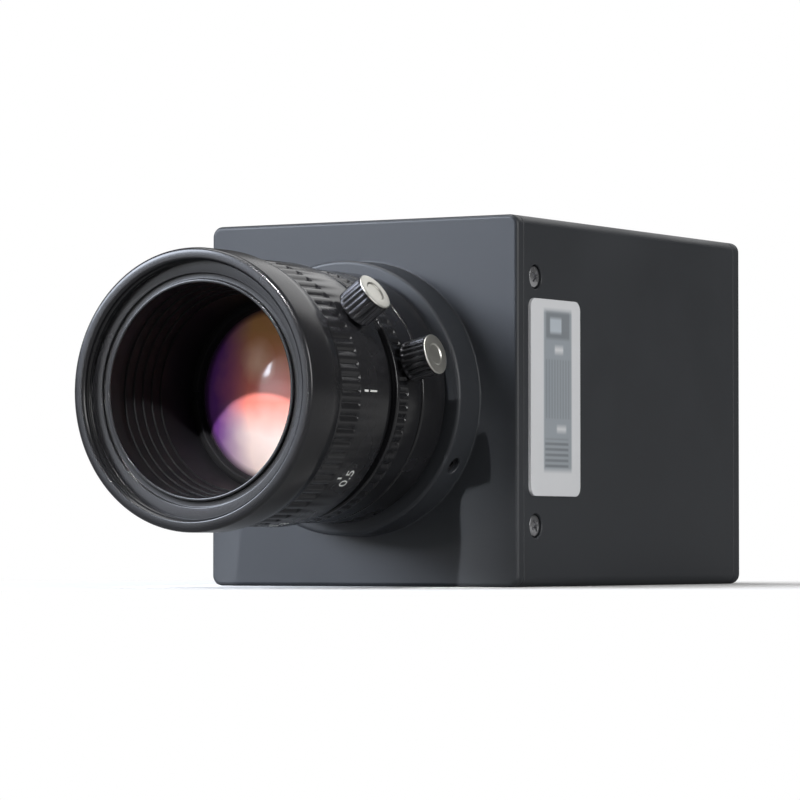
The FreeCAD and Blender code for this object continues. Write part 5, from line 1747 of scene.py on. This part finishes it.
class CAMERA_OT_stage(PieceOperator, bpy.types.Operator):
    """Make the floor, the lamps and the camera"""
    bl_idname = "vision_camera.stage"
    bl_label = "Stage"

    def make(self):
        studio = sizes("studio")
        scene = bpy.context.scene
        scene.view_settings.view_transform = "Standard"
        self.make_floor(studio)
        white_world(0.16, 0.08)
        for lamp in AREA_LAMPS:
            area_lamp(*lamp)
        glass = middle("front_element")
        for name, origin, aim, spread, power in BEAMS:
            spot_lamp(name, glass + Vector(origin), glass + Vector(aim), spread, power)
        self.make_camera(studio, scene)

    def make_floor(self, studio):
        """White paper that keeps the shadow beside the camera and fades to plain white."""
        paper, tree, shader, vector = blank("floor_paper")
        distance = vector_maths(tree, "LENGTH", vector)
        far = ramp(tree, distance, studio.fade_start, studio.fade_end)
        seen = tree.nodes.new("ShaderNodeLightPath").outputs["Is Camera Ray"]
        shade_value = studio.floor_shade
        tone = noise(tree, vector, 6.0, 2.0)
        near = mixed(tree, tone, (shade_value,) * 3, (shade_value * 1.01,) * 3)
        near = mixed(tree, seen, (studio.floor_bounce,) * 3, near)
        tree.links.new(mixed(tree, far, near, (0.0, 0.0, 0.0)), shader.inputs["Base Color"])
        glow = mixed(tree, seen, (studio.floor_bounce,) * 3, (1.0, 1.0, 1.0))
        tree.links.new(mixed(tree, far, (0.0, 0.0, 0.0), glow),
                       shader.inputs["Emission Color"])
        shader.inputs["Emission Strength"].default_value = 1.0
        shader.inputs["Roughness"].default_value = 0.9
        shader.inputs["Specular IOR Level"].default_value = 0.0
        bm = bmesh.new()
        turn_outline(bm, [(0, 0), (0.1, 0), (0.5, 0), (3.0, 0)], 96, False, Matrix.Identity(4))
        mesh = bpy.data.meshes.new("floor")
        for face in bm.faces:
            face.normal_update()
            if face.normal.z < 0:
                face.normal_flip()
        bm.to_mesh(mesh)
        bm.free()
        mesh.materials.append(paper)
        floor = linked("floor", mesh)

    def make_camera(self, studio, scene):
        lens = bpy.data.cameras.new("camera_view")
        lens.lens = studio.lens
        lens.sensor_width = 36.0
        lens.clip_start = 0.01
        lens.clip_end = 20.0
        origin = Vector((studio.distance * sin(studio.azimuth),
                         FACE_Y - studio.distance * cos(studio.azimuth), studio.eye))
        scene.camera = pointed("camera_view", lens, origin, (0.0055, FACE_Y, 0.0228))


# ---------------------------------------------------------------------------------------------
# Panel and registration
# ---------------------------------------------------------------------------------------------

PIECE_OPERATORS = (
    CAMERA_OT_finishes, CAMERA_OT_front_block, CAMERA_OT_housing, CAMERA_OT_rear_cover,
    CAMERA_OT_body_screws, CAMERA_OT_side_plate, CAMERA_OT_tripod_bush, CAMERA_OT_mount_barrel,
    CAMERA_OT_iris_ring, CAMERA_OT_focus_ring, CAMERA_OT_scales, CAMERA_OT_lock_screws,
    CAMERA_OT_front_barrel, CAMERA_OT_glass, CAMERA_OT_sockets, CAMERA_OT_status_lights,
    CAMERA_OT_stage,
)

GROUPS = (("body", BodySizes), ("lens", LensSizes), ("sockets", SocketSizes),
          ("finishes", Finishes), ("studio", Studio))


class CAMERA_PT_pieces(bpy.types.Panel):
    """Lists the camera's pieces and their sizes"""
    bl_idname = "CAMERA_PT_pieces"
    bl_label = "Machine vision camera"
    bl_space_type = "VIEW_3D"
    bl_region_type = "UI"
    bl_category = "Vision Camera"

    def draw(self, context):
        for operator in PIECE_OPERATORS:
            self.layout.operator(operator.bl_idname)
        for kind, _ in GROUPS:
            box = self.layout.box()
            group = sizes(kind)
            for name in group.__annotations__:
                box.prop(group, name)


def register():
    for kind, group in GROUPS:
        bpy.utils.register_class(group)
        setattr(bpy.types.Scene, "vision_camera_" + kind,
                bpy.props.PointerProperty(type=group))
    for operator in PIECE_OPERATORS:
        bpy.utils.register_class(operator)
    bpy.utils.register_class(CAMERA_PT_pieces)


def unregister():
    bpy.utils.unregister_class(CAMERA_PT_pieces)
    for operator in reversed(PIECE_OPERATORS):
        bpy.utils.unregister_class(operator)
    for kind, group in GROUPS:
        delattr(bpy.types.Scene, "vision_camera_" + kind)
        bpy.utils.unregister_class(group)


def main():
    """Registers the add-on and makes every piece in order."""
    register()
    for operator in PIECE_OPERATORS:
        family, name = operator.bl_idname.split(".")
        getattr(getattr(bpy.ops, family), name)()


if __name__ == "__main__":
    main()
